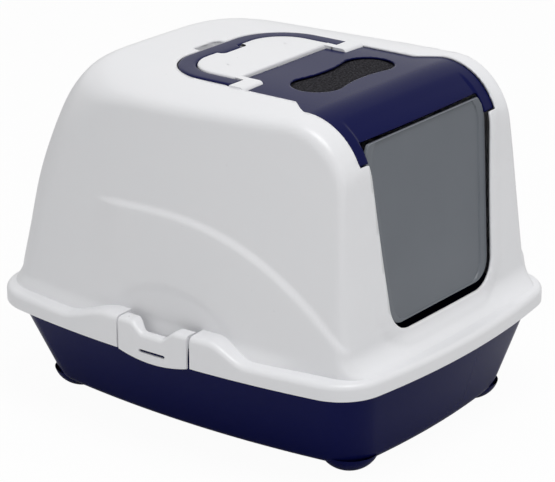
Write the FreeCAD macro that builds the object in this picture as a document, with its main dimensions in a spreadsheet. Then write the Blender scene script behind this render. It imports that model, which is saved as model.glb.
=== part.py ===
import FreeCAD, Part
import math
import os
import Sketcher

V = FreeCAD.Vector
doc = FreeCAD.newDocument("litter_box")

# Driving sizes in millimetres.
# The floor is z = 0, the door looks towards -Y and the long sides lie along Y.
SIZES = {
    # bowed outline of the skirt around the hood
    "half_width": 206,
    "half_length": 250,
    "side_bow": 1166,
    "front_bow": 928,
    "rear_bow": 909,
    "rim_front_corner": 53,
    "rim_rear_corner": 61,
    "skirt_bottom": 105,
    "skirt_height": 21,
    "skirt_edge": 6,
    "wall": 2.5,
    # hood walls, drawn at five heights: half width, rear reach, rear corner
    "foot_height": 100,
    "foot_half_width": 188.5,
    "foot_front": 246,
    "foot_rear": 242,
    "foot_front_corner": 46,
    "foot_rear_corner": 52,
    "waist_height": 240,
    "waist_half_width": 174.5,
    "waist_front": 211,
    "waist_rear": 217.5,
    "waist_front_corner": 16,
    "waist_rear_corner": 62,
    "shoulder_height": 300,
    "shoulder_half_width": 167.5,
    "shoulder_front": 206,
    "shoulder_rear": 204.5,
    "shoulder_front_corner": 9,
    "shoulder_rear_corner": 92,
    "eaves_height": 345,
    "eaves_half_width": 162,
    "eaves_front": 204,
    "eaves_rear": 184,
    "eaves_rear_corner": 116,
    "crown_height": 385,
    "crown_half_width": 157,
    "crown_rear": 135,
    "crown_rear_corner": 114,
    # side view of the hood: hollow front, round brow, roof
    "roof_height": 367.5,
    "brow_radius": 62,
    "brow_reach": 200,
    "face_foot": 215,
    "face_bottom": 149,
    "face_bow": 4000,
    "flare_radius": 24,
    "shelf_half_width": 100,
    "shelf_drop": 1,
    "side_station": 215,
    "side_front_drop": 18,
    "side_rear_drop": 92,
    "roof_end": 280,
    # flip lid
    "lid_drop": 2,
    "lid_flange": 9,
    "lid_half_width": 100.6,
    "lid_gap": 0.8,
    "lid_jog_start": 105,
    "lid_jog_end": 127,
    "lid_ledge": 5,
    "seat_gap": 0.3,
    "tongue_half_width": 69.5,
    "tongue_rear": 17,
    "arm_outer": 120.4,
    "arm_width": 13.8,
    "arm_bottom": 322,
    "brow_bottom": 340,
    "knuckle_radius": 10.5,
    "lid_axis_back": 31,
    "lid_axis_height": 358,
    "lid_pin_radius": 4,
    "lid_pin_length": 7,
    "running_gap": 0.06,
    # window and filter in the lid
    "window_lobe": 27.2,
    "window_offset": 40.9,
    "window_waist": 21.4,
    "window_back": 85.6,
    "filter_half_width": 79,
    "filter_half_depth": 38,
    "filter_corner": 34,
    "filter_thick": 8,
    "retainer_wall": 2,
    "retainer_bar": 3,
    # door opening and flap
    "door_bottom": 144.3,
    "door_bottom_half": 89.4,
    "door_top_half": 107.2,
    "door_corner": 27.5,
    "surround_width": 15,
    "surround_rise": 1.6,
    "flap_gap": 2.2,
    "flap_sill_gap": 4,
    "flap_axis_height": 331,
    "flap_axis_front": 182,
    "flap_head": 5,
    "flap_lean": 5.4,
    "flap_thick": 2.2,
    "flap_face": 6,
    "flap_bevel": 4,
    "flap_border": 9,
    "flap_pin_radius": 3,
    "flap_pin_length": 7,
    # carrying handle and its trough
    "handle_half_width": 98.6,
    "handle_rear": 78,
    "handle_bar": 18,
    "handle_corner": 50,
    "handle_thick": 9,
    "handle_axis_front": 17,
    "handle_pin_radius": 3,
    "handle_pin_length": 6,
    "trough_gap": 1.2,
    "trough_under": 1.5,
    "pad_top": 369,
    "pad_front": 14.2,
    "finger_half_width": 21,
    "finger_reach": 12,
    "finger_depth": 7,
    # side latches
    "latch_half_length": 44,
    "latch_offset": -4,
    "latch_end_gap": 1,
    "latch_proud": 1.2,
    "latch_thick": 3,
    "latch_axis_inset": 5,
    "latch_axis_height": 133.5,
    "latch_barrel": 5.8,
    "latch_dip": 2,
    "latch_dip_half": 23,
    "latch_end_bottom": 103.5,
    "latch_mid_bottom": 98,
    "latch_slot_half": 16,
    "latch_slot_height": 110,
    "latch_slot_tall": 3,
    "latch_hook_reach": 5.5,
    "latch_hook_tall": 4,
    "latch_pin_radius": 2.5,
    "latch_pin_length": 6,
    "cheek_rise": 13,
    "cheek_flat": 68,
    "cheek_run": 46,
    "cheek_round": 16,
    # pan and its feet
    "pan_floor": 11,
    "pan_floor_half_width": 156,
    "pan_floor_front": 215,
    "pan_floor_rear": 208,
    "pan_floor_corner": 42,
    "pan_edge": 15,
    "pan_lean": 15,
    "pan_rim_half_width": 189,
    "pan_rim_length": 238,
    "pan_rim_corner": 45,
    "pan_lip_bottom": 108.5,
    "pan_play": 0.8,
    "foot_radius": 31,
    "foot_depth": 26,
    "foot_flat": 1,
    "foot_side": 110.5,
    "foot_front_back": 179,
    "foot_rear_back": 174,
}

sheet = doc.addObject("Spreadsheet::Sheet", "Sizes")
for row, (name, value) in enumerate(SIZES.items(), start=1):
    sheet.set("A%d" % row, name)
    sheet.set("B%d" % row, str(value))
    sheet.setAlias("B%d" % row, name)
doc.recompute()


class Size:
    """A length with the formula that ties it to the sheet."""

    def __init__(self, value, text):
        self.value = value
        self.text = text

    @staticmethod
    def of(item):
        return item if isinstance(item, Size) else Size(float(item), "(%r)" % float(item))

    def join(self, other, sign, value):
        return Size(value, "(%s %s %s)" % (self.text, sign, other.text))

    def __add__(self, other):
        other = Size.of(other)
        return self.join(other, "+", self.value + other.value)

    def __sub__(self, other):
        other = Size.of(other)
        return self.join(other, "-", self.value - other.value)

    def __mul__(self, other):
        other = Size.of(other)
        return self.join(other, "*", self.value * other.value)

    def __truediv__(self, other):
        other = Size.of(other)
        return self.join(other, "/", self.value / other.value)

    def __radd__(self, other):
        return Size.of(other) + self

    def __rsub__(self, other):
        return Size.of(other) - self

    def __rmul__(self, other):
        return Size.of(other) * self

    def __neg__(self):
        return Size(-self.value, "(0 - %s)" % self.text)


class Sheet:
    """Reads each cell of the sheet as a Size by its alias."""

    def __getattr__(self, alias):
        return Size(float(sheet.get(alias)), "Sizes.%s" % alias)


S = Sheet()
ZERO = Size.of(0)


def drive(sketch, size, kind, *where):
    index = sketch.addConstraint(Sketcher.Constraint(kind, *where, size.value))
    sketch.setExpression("Constraints[%d]" % index, size.text)


def place(sketch, item, end, x, y):
    drive(sketch, x, "DistanceX", -1, 1, item, end)
    drive(sketch, y, "DistanceY", -1, 1, item, end)


def new_sketch(body, name, plane, offset):
    sketch = body.newObject("Sketcher::SketchObject", name)
    for feature in body.Origin.OriginFeatures:
        if feature.Role == plane:
            sketch.AttachmentSupport = [(feature, "")]
    sketch.MapMode = "FlatFace"
    sketch.AttachmentOffset = FreeCAD.Placement(V(0, 0, offset.value), FreeCAD.Rotation())
    sketch.setExpression("AttachmentOffset.Base.z", offset.text)
    return sketch


def draw_polygon(sketch, points):
    """Closed chain of straight lines, each corner tied to the sheet."""
    count = len(points)
    for i, (x, y) in enumerate(points):
        nx, ny = points[(i + 1) % count]
        sketch.addGeometry(Part.LineSegment(V(x.value, y.value, 0), V(nx.value, ny.value, 0)), False)
    for i, (x, y) in enumerate(points):
        sketch.addConstraint(Sketcher.Constraint("Coincident", i, 2, (i + 1) % count, 1))
        place(sketch, i, 1, x, y)


def draw_circle(sketch, x, y, radius):
    item = sketch.addGeometry(Part.Circle(V(x.value, y.value, 0), V(0, 0, 1), radius.value), False)
    place(sketch, item, 3, x, y)
    drive(sketch, radius, "Radius", item)


def arc_between(centre, start, end):
    """Counter-clockwise arc about a centre."""
    radius = start.distanceToPoint(centre)
    a = math.atan2(start.y - centre.y, start.x - centre.x)
    b = math.atan2(end.y - centre.y, end.x - centre.x)
    if b <= a:
        b += 2 * math.pi
    return Part.ArcOfCircle(Part.Circle(centre, V(0, 0, 1), radius), a, b)


def corner_centre(side, side_radius, end, end_radius, radius, sx, sy):
    """Centre of the arc that rolls inside a side arc and an end arc."""
    r1 = side_radius - radius
    r2 = end_radius - radius
    span = end - side
    length = span.Length
    along = (r1 * r1 - r2 * r2 + length * length) / (2 * length)
    across = math.sqrt(r1 * r1 - along * along)
    unit = span / length
    normal = V(-unit.y, unit.x, 0)
    foot = side + unit * along
    return max((foot + normal * across, foot - normal * across), key=lambda p: p.x * sx + p.y * sy)


def draw_barrel(sketch, half, front, rear, bows, front_corner, rear_corner):
    """Bowed rectangle: four long arcs joined by tangent corner arcs."""
    side_bow, front_bow, rear_bow = bows
    right = V(half.value - side_bow.value, 0, 0)
    left = -right
    back = V(0, rear.value - rear_bow.value, 0)
    fore = V(0, front_bow.value - front.value, 0)
    corners = []
    for sx, sy, side, end, bow, radius in (
        (1, 1, right, back, rear_bow, rear_corner),
        (-1, 1, left, back, rear_bow, rear_corner),
        (-1, -1, left, fore, front_bow, front_corner),
        (1, -1, right, fore, front_bow, front_corner),
    ):
        c = corner_centre(side, side_bow.value, end, bow.value, radius.value, sx, sy)
        on_side = side + (c - side).normalize() * side_bow.value
        on_end = end + (c - end).normalize() * bow.value
        corners.append((c, on_side, on_end))
    rr, rl, fl, fr = corners
    arcs = (
        arc_between(right, fr[1], rr[1]),
        arc_between(rr[0], rr[1], rr[2]),
        arc_between(back, rr[2], rl[2]),
        arc_between(rl[0], rl[2], rl[1]),
        arc_between(left, rl[1], fl[1]),
        arc_between(fl[0], fl[1], fl[2]),
        arc_between(fore, fl[2], fr[2]),
        arc_between(fr[0], fr[2], fr[1]),
    )
    for arc in arcs:
        sketch.addGeometry(arc, False)
    for i in range(8):
        sketch.addConstraint(Sketcher.Constraint("Tangent", i, 2, (i + 1) % 8, 1))
    for i in (0, 4):
        sketch.addConstraint(Sketcher.Constraint("PointOnObject", i, 3, -1))
    for i in (2, 6):
        sketch.addConstraint(Sketcher.Constraint("PointOnObject", i, 3, -2))
    radii = (side_bow, rear_corner, rear_bow, rear_corner, side_bow, front_corner, front_bow, front_corner)
    for i, radius in enumerate(radii):
        drive(sketch, radius, "Radius", i)
    drive(sketch, half - side_bow, "DistanceX", -1, 1, 0, 3)
    drive(sketch, side_bow - half, "DistanceX", -1, 1, 4, 3)
    drive(sketch, rear - rear_bow, "DistanceY", -1, 1, 2, 3)
    drive(sketch, front_bow - front, "DistanceY", -1, 1, 6, 3)


def draw_profile(sketch, back_shift, front_drop, rear_drop, inset):
    """Side view of the hood: flare above the rim, leaning face, round brow, straight roof."""
    brow = S.brow_radius - inset
    cy = S.brow_radius - S.brow_reach + back_shift
    cz = S.roof_height - S.brow_radius - front_drop
    flare = S.flare_radius + inset
    fy = back_shift - S.face_foot - S.flare_radius
    fz = S.face_bottom
    low = S.foot_height - 20
    end_z = S.roof_height - rear_drop - inset

    def at(y, z):
        return V(y.value, z.value, 0)

    face_top = at(cy - brow, cz)
    face_foot = at(fy + flare, fz)
    toe = at(fy, fz - flare)
    sole = at(fy, low)
    roof_front = at(cy, cz + brow)
    roof_rear = at(S.roof_end, end_z)
    rear_sole = at(S.roof_end, low)
    sketch.addGeometry(arc_between(at(cy, cz), roof_front, face_top), False)
    sketch.addGeometry(Part.LineSegment(face_top, face_foot), False)
    sketch.addGeometry(arc_between(at(fy, fz), toe, face_foot), False)
    sketch.addGeometry(Part.LineSegment(toe, sole), False)
    sketch.addGeometry(Part.LineSegment(sole, rear_sole), False)
    sketch.addGeometry(Part.LineSegment(rear_sole, roof_rear), False)
    sketch.addGeometry(Part.LineSegment(roof_rear, roof_front), False)
    joints = ((0, 2, 1, 1), (1, 2, 2, 2), (2, 1, 3, 1), (3, 2, 4, 1),
              (4, 2, 5, 1), (5, 2, 6, 1), (6, 2, 0, 1))
    for joint in joints:
        sketch.addConstraint(Sketcher.Constraint("Coincident", *joint))
    place(sketch, 0, 3, cy, cz)
    drive(sketch, brow, "Radius", 0)
    drive(sketch, cy, "DistanceX", -1, 1, 0, 1)
    drive(sketch, cz, "DistanceY", -1, 1, 0, 2)
    place(sketch, 2, 3, fy, fz)
    drive(sketch, flare, "Radius", 2)
    drive(sketch, fz, "DistanceY", -1, 1, 2, 2)
    drive(sketch, fy, "DistanceX", -1, 1, 2, 1)
    place(sketch, 3, 2, fy, low)
    place(sketch, 4, 2, S.roof_end, low)
    place(sketch, 5, 2, S.roof_end, end_z)


def new_body(name):
    return doc.addObject("PartDesign::Body", name)


def add_loft(body, name, sketches):
    feature = body.newObject("PartDesign::AdditiveLoft", name)
    feature.Profile = sketches[0]
    feature.Sections = sketches[1:]
    body.Tip = feature
    return feature


def add_pad(body, name, sketch, length, reverse=False, kind="PartDesign::Pad", taper=0):
    feature = body.newObject(kind, name)
    feature.Profile = sketch
    feature.Length = length.value
    feature.setExpression("Length", length.text)
    feature.Reversed = reverse
    if taper:
        feature.TaperAngle = taper
    body.Tip = feature
    doc.recompute()
    return feature


def add_fillet(body, name, base, radius, chosen):
    doc.recompute()
    edges = ["Edge%d" % (i + 1) for i, e in enumerate(base.Shape.Edges) if chosen(e)]
    feature = body.newObject("PartDesign::Fillet", name)
    feature.Base = (base, edges)
    feature.Radius = radius.value
    feature.setExpression("Radius", radius.text)
    body.Tip = feature
    doc.recompute()
    return feature


def upright_at(points):
    """Chooses the edges that stand on the given corners of a plan."""
    def chosen(edge):
        a = edge.Vertexes[0].Point
        b = edge.Vertexes[-1].Point
        flat = abs(a.x - b.x) + abs(a.y - b.y)
        return flat < 1e-6 and any(abs(a.x - x.value) + abs(a.y - y.value) < 1e-3 for x, y in points)
    return chosen


def level(z):
    """Chooses the edges that lie wholly at one height."""
    return lambda edge: all(abs(p.z - z) < 1e-4 for p in edge.discretize(3))


def prism(name, plane, offset, points, length, reverse=False):
    body = new_body(name)
    sketch = new_sketch(body, name + "_outline", plane, offset)
    draw_polygon(sketch, points)
    pad = add_pad(body, name + "_pad", sketch, length, reverse)
    return body, pad


def box(name, x0, x1, y0, y1, z0, z1):
    item = doc.addObject("Part::Box", name)
    for prop, size in (("Length", x1 - x0), ("Width", y1 - y0), ("Height", z1 - z0)):
        setattr(item, prop, size.value)
        item.setExpression(prop, size.text)
    item.Placement = FreeCAD.Placement(V(x0.value, y0.value, z0.value), FreeCAD.Rotation())
    for axis, size in (("x", x0), ("y", y0), ("z", z0)):
        item.setExpression("Placement.Base.%s" % axis, size.text)
    return item


def rod(name, x, y, z, radius, length, axis):
    """Round bar that starts at a point and runs along an axis."""
    item = doc.addObject("Part::Cylinder", name)
    for prop, size in (("Radius", radius), ("Height", length)):
        setattr(item, prop, size.value)
        item.setExpression(prop, size.text)
    item.Placement = FreeCAD.Placement(V(x.value, y.value, z.value), FreeCAD.Rotation(V(0, 0, 1), axis))
    for word, size in (("x", x), ("y", y), ("z", z)):
        item.setExpression("Placement.Base.%s" % word, size.text)
    return item


def both_sides(name, x, y, z, radius, length):
    """The same round bar on the right and on the left, pointing outwards."""
    right = rod(name + "_right", x, y, z, radius, length, V(1, 0, 0))
    left = rod(name + "_left", -x, y, z, radius, length, V(-1, 0, 0))
    return [right, left]


def fuse(name, *items):
    result = doc.addObject("Part::MultiFuse", name)
    result.Shapes = list(items)
    return result


def common(name, *items):
    result = doc.addObject("Part::MultiCommon", name)
    result.Shapes = list(items)
    return result


def cut(name, base, *tools):
    tool = tools[0] if len(tools) == 1 else fuse(name + "_tools", *tools)
    result = doc.addObject("Part::Cut", name)
    result.Base = base
    result.Tool = tool
    return result


def mirror_x(name, item):
    result = doc.addObject("Part::Mirroring", name)
    result.Source = item
    result.Normal = V(1, 0, 0)
    return result


def form(tag, inset):
    """The hood's outer form, drawn again further in for every inner surface."""
    walls = new_body(tag + "_walls")
    bows = (S.side_bow - inset, S.face_bow - inset, S.rear_bow - inset)
    stations = (
        (S.foot_height, S.foot_half_width, S.foot_front, S.foot_rear,
         S.foot_front_corner, S.foot_rear_corner),
        (S.waist_height, S.waist_half_width, S.waist_front, S.waist_rear, S.waist_front_corner,
         S.waist_rear_corner),
        (S.shoulder_height, S.shoulder_half_width, S.shoulder_front, S.shoulder_rear, S.shoulder_front_corner,
         S.shoulder_rear_corner),
        (S.eaves_height, S.eaves_half_width, S.eaves_front, S.eaves_rear, S.shoulder_front_corner,
         S.eaves_rear_corner),
        (S.crown_height, S.crown_half_width, S.eaves_front, S.crown_rear, S.shoulder_front_corner,
         S.crown_rear_corner),
    )
    sketches = []
    for i, (z, half, front, rear, front_corner, rear_corner) in enumerate(stations):
        sketch = new_sketch(walls, "%s_station_%d" % (tag, i), "XY_Plane", z)
        draw_barrel(sketch, half - inset, front - inset, rear - inset, bows,
                    front_corner, rear_corner - inset)
        sketches.append(sketch)
    add_loft(walls, tag + "_wall_loft", sketches)
    side = new_body(tag + "_side")
    profiles = []
    edge = (S.side_station, S.side_front_drop, S.side_rear_drop)
    shelf = (S.shelf_half_width, S.shelf_drop, S.shelf_drop)
    for i, (x, front_drop, rear_drop) in enumerate((
        (-edge[0], edge[1], edge[2]),
        (-shelf[0], shelf[1], shelf[2]),
        (ZERO, ZERO, ZERO),
        shelf,
        edge,
    )):
        sketch = new_sketch(side, "%s_profile_%d" % (tag, i), "YZ_Plane", x)
        draw_profile(sketch, x * x / (S.face_bow * 2), front_drop, rear_drop, inset)
        profiles.append(sketch)
    add_loft(side, tag + "_side_loft", profiles)
    return common(tag, walls, side)


def skirt(name, inset, bottom, height):
    """Upright block on the skirt's outline, drawn further in by an inset."""
    body = new_body(name)
    sketch = new_sketch(body, name + "_outline", "XY_Plane", bottom)
    bows = (S.side_bow - inset, S.front_bow - inset, S.rear_bow - inset)
    draw_barrel(sketch, S.half_width - inset, S.half_length - inset, S.half_length - inset, bows,
                S.rim_front_corner - inset, S.rim_rear_corner - inset)
    pad = add_pad(body, name + "_pad", sketch, height)
    return body, pad


FAR = S.half_length + 40
SKY = S.roof_height + 40
LID_DEEP = S.lid_drop + S.lid_flange
RIM_TOP = S.skirt_bottom + S.skirt_height

outer = form("outer", ZERO)
inner = form("inner", S.wall)
lid_top = form("lid_top", S.lid_drop)
lid_under = form("lid_under", S.lid_drop + S.wall)
lid_deep = form("lid_deep", LID_DEEP)
ledge_top = form("ledge_top", LID_DEEP + S.seat_gap)
ledge_under = form("ledge_under", LID_DEEP + S.seat_gap + S.wall)
raised = form("raised", -S.surround_rise)


def lid_plan(grow):
    """Outline of the lid from above, tongue at the rear and arms at the front."""
    tongue = S.tongue_half_width + grow
    half = S.lid_half_width + grow
    arm = S.arm_outer + grow
    back = grow - S.tongue_rear
    beside = grow - S.lid_axis_back - S.knuckle_radius - S.lid_gap
    right = [
        (tongue, back),
        (tongue, beside),
        (half, beside),
        (half, -S.lid_jog_start),
        (arm, -S.lid_jog_end),
        (arm, -FAR),
    ]
    return right + [(-x, y) for x, y in reversed(right)]


def lid_region(tag, grow):
    """Space that the lid takes: the plan pulled up, and the arms below the brow."""
    points = lid_plan(grow)
    roof, pad = prism(tag + "_roof", "XY_Plane", S.brow_bottom - grow, points, SKY - S.brow_bottom)
    rounds = [points[i] for i in (0, 3, 8, 11)]
    add_fillet(roof, tag + "_rounds", pad, S.skirt_edge, upright_at(rounds))
    bottom = S.arm_bottom - grow
    x0 = S.arm_outer - S.arm_width - grow
    x1 = S.arm_outer + grow
    right = box(tag + "_arm", x0, x1, -FAR, -S.lid_jog_end, bottom, S.brow_bottom + 1)
    return fuse(tag, roof, right, mirror_x(tag + "_arm_left", right))


def door_plan(grow):
    low = S.door_bottom - grow
    high = S.brow_bottom + 2
    return [
        (-S.door_bottom_half - grow, low),
        (S.door_bottom_half + grow, low),
        (S.door_top_half + grow, S.arm_bottom),
        (S.door_top_half + grow, high),
        (-S.door_top_half - grow, high),
        (-S.door_top_half - grow, S.arm_bottom),
    ]


def across_at(points):
    """Chooses the edges that run front to back through corners of a front view."""
    def chosen(edge):
        a = edge.Vertexes[0].Point
        b = edge.Vertexes[-1].Point
        flat = abs(a.x - b.x) + abs(a.z - b.z)
        return flat < 1e-6 and any(abs(a.x - x.value) + abs(a.z - z.value) < 1e-3 for x, z in points)
    return chosen


def door_prism(name, grow, radius):
    points = door_plan(grow)
    body, pad = prism(name, "XZ_Plane", S.brow_reach - 60, points, FAR - S.brow_reach + 60)
    add_fillet(body, name + "_rounds", pad, radius, across_at(points[:2]))
    return body


# Hood: wall shell, skirt with raised cheeks, door surround
rim_body, rim_pad = skirt("rim_block", ZERO, S.skirt_bottom, S.skirt_height)
add_fillet(rim_body, "rim_round", rim_pad, S.skirt_edge, level(RIM_TOP.value))
rim_core, _ = skirt("rim_core", S.wall, S.skirt_bottom - 5, S.skirt_height + 5 - S.wall)
CHEEK_TOP = RIM_TOP + S.cheek_rise


def cheek(tag, inset):
    """Swelling of the rim on both sides of a latch, seen from the side."""
    top = CHEEK_TOP - inset
    flat = S.cheek_flat - inset
    run = S.cheek_flat + S.cheek_run - inset
    low = S.skirt_bottom - inset
    rim = RIM_TOP - S.skirt_edge - inset
    right = [(run, low), (run, rim), (flat, top)]
    points = [(S.latch_offset + y, z) for y, z in right]
    points += [(S.latch_offset - y, z) for y, z in reversed(right)]
    body, pad = prism(tag + "_wave", "YZ_Plane", -FAR, points, FAR * 2)

    def chosen(edge):
        a = edge.Vertexes[0].Point
        b = edge.Vertexes[-1].Point
        return abs(a.y - b.y) + abs(a.z - b.z) < 1e-6 and a.z > rim.value + 1
    add_fillet(body, tag + "_rounds", pad, S.cheek_round, chosen)
    block, _ = skirt(tag + "_block", inset, low, top - low + S.wall)
    return common(tag, body, block)


cheek_outer = cheek("cheek_outer", ZERO)
cheek_inner = cheek("cheek_inner", S.wall)
surround = common("surround", raised, door_prism("surround_prism", S.surround_width, S.door_corner + 14))
hood_solid = fuse("hood_solid", outer, rim_body, cheek_outer, surround)
hood_hollow = fuse("hood_hollow", inner, rim_core, cheek_inner)
hood_shell = cut("hood_shell", hood_solid, hood_hollow)

door = door_prism("door", ZERO, S.door_corner)
door_ring = cut("door_ring", door_prism("door_rim", S.wall, S.door_corner + 2), door)
lid_hole = lid_region("lid_hole", S.lid_gap)
reveal_ring = common("reveal_ring", door_ring, cut("reveal_skin", outer, lid_deep))
reveal = cut("reveal", reveal_ring, lid_hole)

# Ledge under both sides of the lid, with the upright wall it hangs from
ledge_zone, _ = prism("ledge_zone", "XY_Plane", S.brow_bottom - 20, lid_plan(S.lid_gap + S.wall),
                              SKY - S.brow_bottom)
ledge_well, _ = prism("ledge_well", "XY_Plane", S.brow_bottom - 30, lid_plan(S.lid_gap),
                                   SKY - S.brow_bottom)
ledge_open, _ = prism("ledge_open", "XY_Plane", S.brow_bottom - 40, lid_plan(-S.lid_ledge),
                                   SKY - S.brow_bottom + 20)
ledge_band = box("ledge_band", -FAR, FAR, -S.lid_jog_start, 6 - S.lid_axis_back - S.knuckle_radius * 2,
                 S.brow_bottom - 30, SKY)
ledge_block = common("ledge_block", ledge_zone, cut("ledge_skin", outer, ledge_under), ledge_band)
ledge_void = cut("ledge_void", ledge_well, ledge_top)
ledge = cut("ledge", ledge_block, ledge_void, ledge_open)

# Handle trough with the pad between its arms
HANDLE_TOP = S.roof_height + 0.5
HANDLE_UNDER = HANDLE_TOP - S.handle_thick
TROUGH_FLOOR = HANDLE_UNDER - S.trough_under
HANDLE_AXIS = HANDLE_TOP - S.handle_thick / 2
HANDLE_FRONT = S.handle_axis_front + S.handle_thick / 2


def bail_plan(half, rear, front):
    return [(half, -front), (half, rear), (-half, rear), (-half, -front)]


def bail_prism(name, grow, radius, front, bottom, top):
    points = bail_plan(S.handle_half_width + grow, S.handle_rear + grow, front)
    body, pad = prism(name, "XY_Plane", bottom, points, top - bottom)
    add_fillet(body, name + "_rounds", pad, radius, upright_at(points[1:3]))
    return body


trough_block = bail_prism("trough_block", S.trough_gap + S.wall, S.handle_corner + S.trough_gap + S.wall,
                          S.pad_front, TROUGH_FLOOR - S.wall, SKY)
trough_void = bail_prism("trough_void", S.trough_gap, S.handle_corner + S.trough_gap,
                         HANDLE_FRONT + S.trough_gap, TROUGH_FLOOR, SKY)
PAD_GROW = -S.handle_bar - S.trough_gap
pad_island = bail_prism("pad_island", PAD_GROW, S.handle_corner + PAD_GROW, S.pad_front,
                        TROUGH_FLOOR - S.wall, S.pad_top)
PAD_CORE = PAD_GROW - S.wall
pad_core = bail_prism("pad_core", PAD_CORE, S.handle_corner + PAD_CORE, S.pad_front - S.wall,
                      TROUGH_FLOOR - S.wall - 5, S.pad_top - S.wall)
FINGER_BACK = S.handle_rear + S.finger_reach
FINGER_FRONT = S.handle_rear - S.handle_bar - S.finger_reach
FINGER_FLOOR = TROUGH_FLOOR - S.finger_depth


def finger_well(name, grow, top):
    x = S.finger_half_width + grow
    points = [(x, FINGER_BACK + grow), (-x, FINGER_BACK + grow)]
    points += [(-x, FINGER_FRONT - grow), (x, FINGER_FRONT - grow)]
    body, pad = prism(name, "XY_Plane", FINGER_FLOOR - grow, points, top - FINGER_FLOOR + grow)
    add_fillet(body, name + "_rounds", pad, S.skirt_edge + grow, upright_at(points))
    return body


finger_wall = finger_well("finger_wall", S.wall, S.pad_top)
finger_void = finger_well("finger_void", ZERO, SKY)
deck = common("deck", outer, fuse("deck_blocks", trough_block, finger_wall))

# Knuckles of the lid hinge on a bar in front of the pad
KNUCKLE_IN = S.tongue_half_width + S.lid_gap
KNUCKLE_LENGTH = S.lid_half_width - S.lid_gap - KNUCKLE_IN
knuckles = both_sides("knuckle", KNUCKLE_IN, -S.lid_axis_back, S.lid_axis_height, S.knuckle_radius,
                      KNUCKLE_LENGTH + S.lid_gap + S.wall)
BAR_FLOOR = S.lid_axis_height - S.knuckle_radius + 2
bar_right = box("bar_right", KNUCKLE_IN, S.lid_half_width + S.wall, -S.lid_axis_back,
                -HANDLE_FRONT - S.trough_gap, BAR_FLOOR, S.lid_axis_height + S.knuckle_radius)
web_right = box("web_right", KNUCKLE_IN, S.lid_half_width + S.wall, -HANDLE_FRONT - S.trough_gap - 1,
                6 - S.pad_front, BAR_FLOOR, TROUGH_FLOOR)
boss_right = box("boss_right", S.handle_half_width + S.trough_gap, S.handle_half_width + S.handle_pin_length + S.wall,
                 -HANDLE_FRONT - S.trough_gap - 1, 12 - S.handle_axis_front, BAR_FLOOR, S.roof_height - 1)
hinge_right = fuse("hinge_right", bar_right, web_right, boss_right)
hinge_left = mirror_x("hinge_left", hinge_right)

lid_bores = both_sides("lid_bore", KNUCKLE_IN - 1, -S.lid_axis_back, S.lid_axis_height,
                       S.lid_pin_radius + S.running_gap, S.lid_pin_length + 2)
handle_bores = both_sides("handle_bore", S.handle_half_width, -S.handle_axis_front, HANDLE_AXIS,
                          S.handle_pin_radius + S.running_gap, S.handle_pin_length + S.trough_gap)

# Notches for the latches
LATCH_X = S.half_width + S.latch_proud - S.latch_axis_inset
NOTCH_IN = LATCH_X - S.latch_barrel - 0.8
NOTCH_HALF = S.latch_half_length + S.latch_end_gap
notch_box = box("notch_box", NOTCH_IN, FAR, S.latch_offset - NOTCH_HALF, S.latch_offset + NOTCH_HALF,
                S.skirt_bottom - 20, CHEEK_TOP + 20)
notch_right = cut("notch_right", notch_box, outer)
notch_left = mirror_x("notch_left", notch_right)
latch_bore = rod("latch_bore", LATCH_X, S.latch_offset - NOTCH_HALF - S.latch_pin_length, S.latch_axis_height,
                 S.latch_pin_radius + S.running_gap, NOTCH_HALF * 2 + S.latch_pin_length * 2, V(0, 1, 0))
latch_bore_left = mirror_x("latch_bore_left", latch_bore)
lugs = []
for word, y0, y1 in (
    ("front", S.latch_offset - NOTCH_HALF - S.latch_pin_length - S.wall, S.latch_offset - NOTCH_HALF),
    ("rear", S.latch_offset + NOTCH_HALF, S.latch_offset + NOTCH_HALF + S.latch_pin_length + S.wall),
):
    lug = box("lug_" + word, NOTCH_IN, S.half_width - 1, y0, y1, RIM_TOP - S.wall, CHEEK_TOP - 1)
    lugs += [lug, mirror_x("lug_left_" + word, lug)]

# Room around the knuckles, so that the lid's rear edge can swing up past the roof
HINGE_ROOM = S.lid_half_width + S.lid_gap
hinge_room = box("hinge_room", -HINGE_ROOM, HINGE_ROOM, -S.lid_axis_back - S.knuckle_radius - S.lid_gap * 2,
                 -HANDLE_FRONT - S.trough_gap, S.lid_axis_height, SKY)
hood_cut = cut("hood_cut", hood_shell, lid_hole, hinge_room)
hood_full = fuse("hood_full", hood_cut, ledge, deck, hinge_right, hinge_left, *knuckles, reveal, *lugs)
trough_cut = cut("trough_cut", trough_void, pad_island)
hood_open = cut("hood_open", hood_full, trough_cut, door)
hood_pad = fuse("hood_pad", hood_open, pad_island)
hood = cut("hood_part", hood_pad, pad_core, finger_void, *lid_bores, *handle_bores, notch_right, notch_left,
           latch_bore, latch_bore_left)

# Lid: skin and flange of the same form, with window, hinge stubs and flap bearings
lid_zone = lid_region("lid_zone", ZERO)
lid_core = lid_region("lid_core", -S.wall)
lid_block = common("lid_block", cut("lid_skin", lid_top, lid_deep), lid_zone)
lid_inside = common("lid_inside", lid_under, lid_core)
lid_shell = cut("lid_shell", lid_block, lid_inside)
window = new_body("window")
window_sketch = new_sketch(window, "window_outline", "XY_Plane", S.roof_height - 40)


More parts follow.
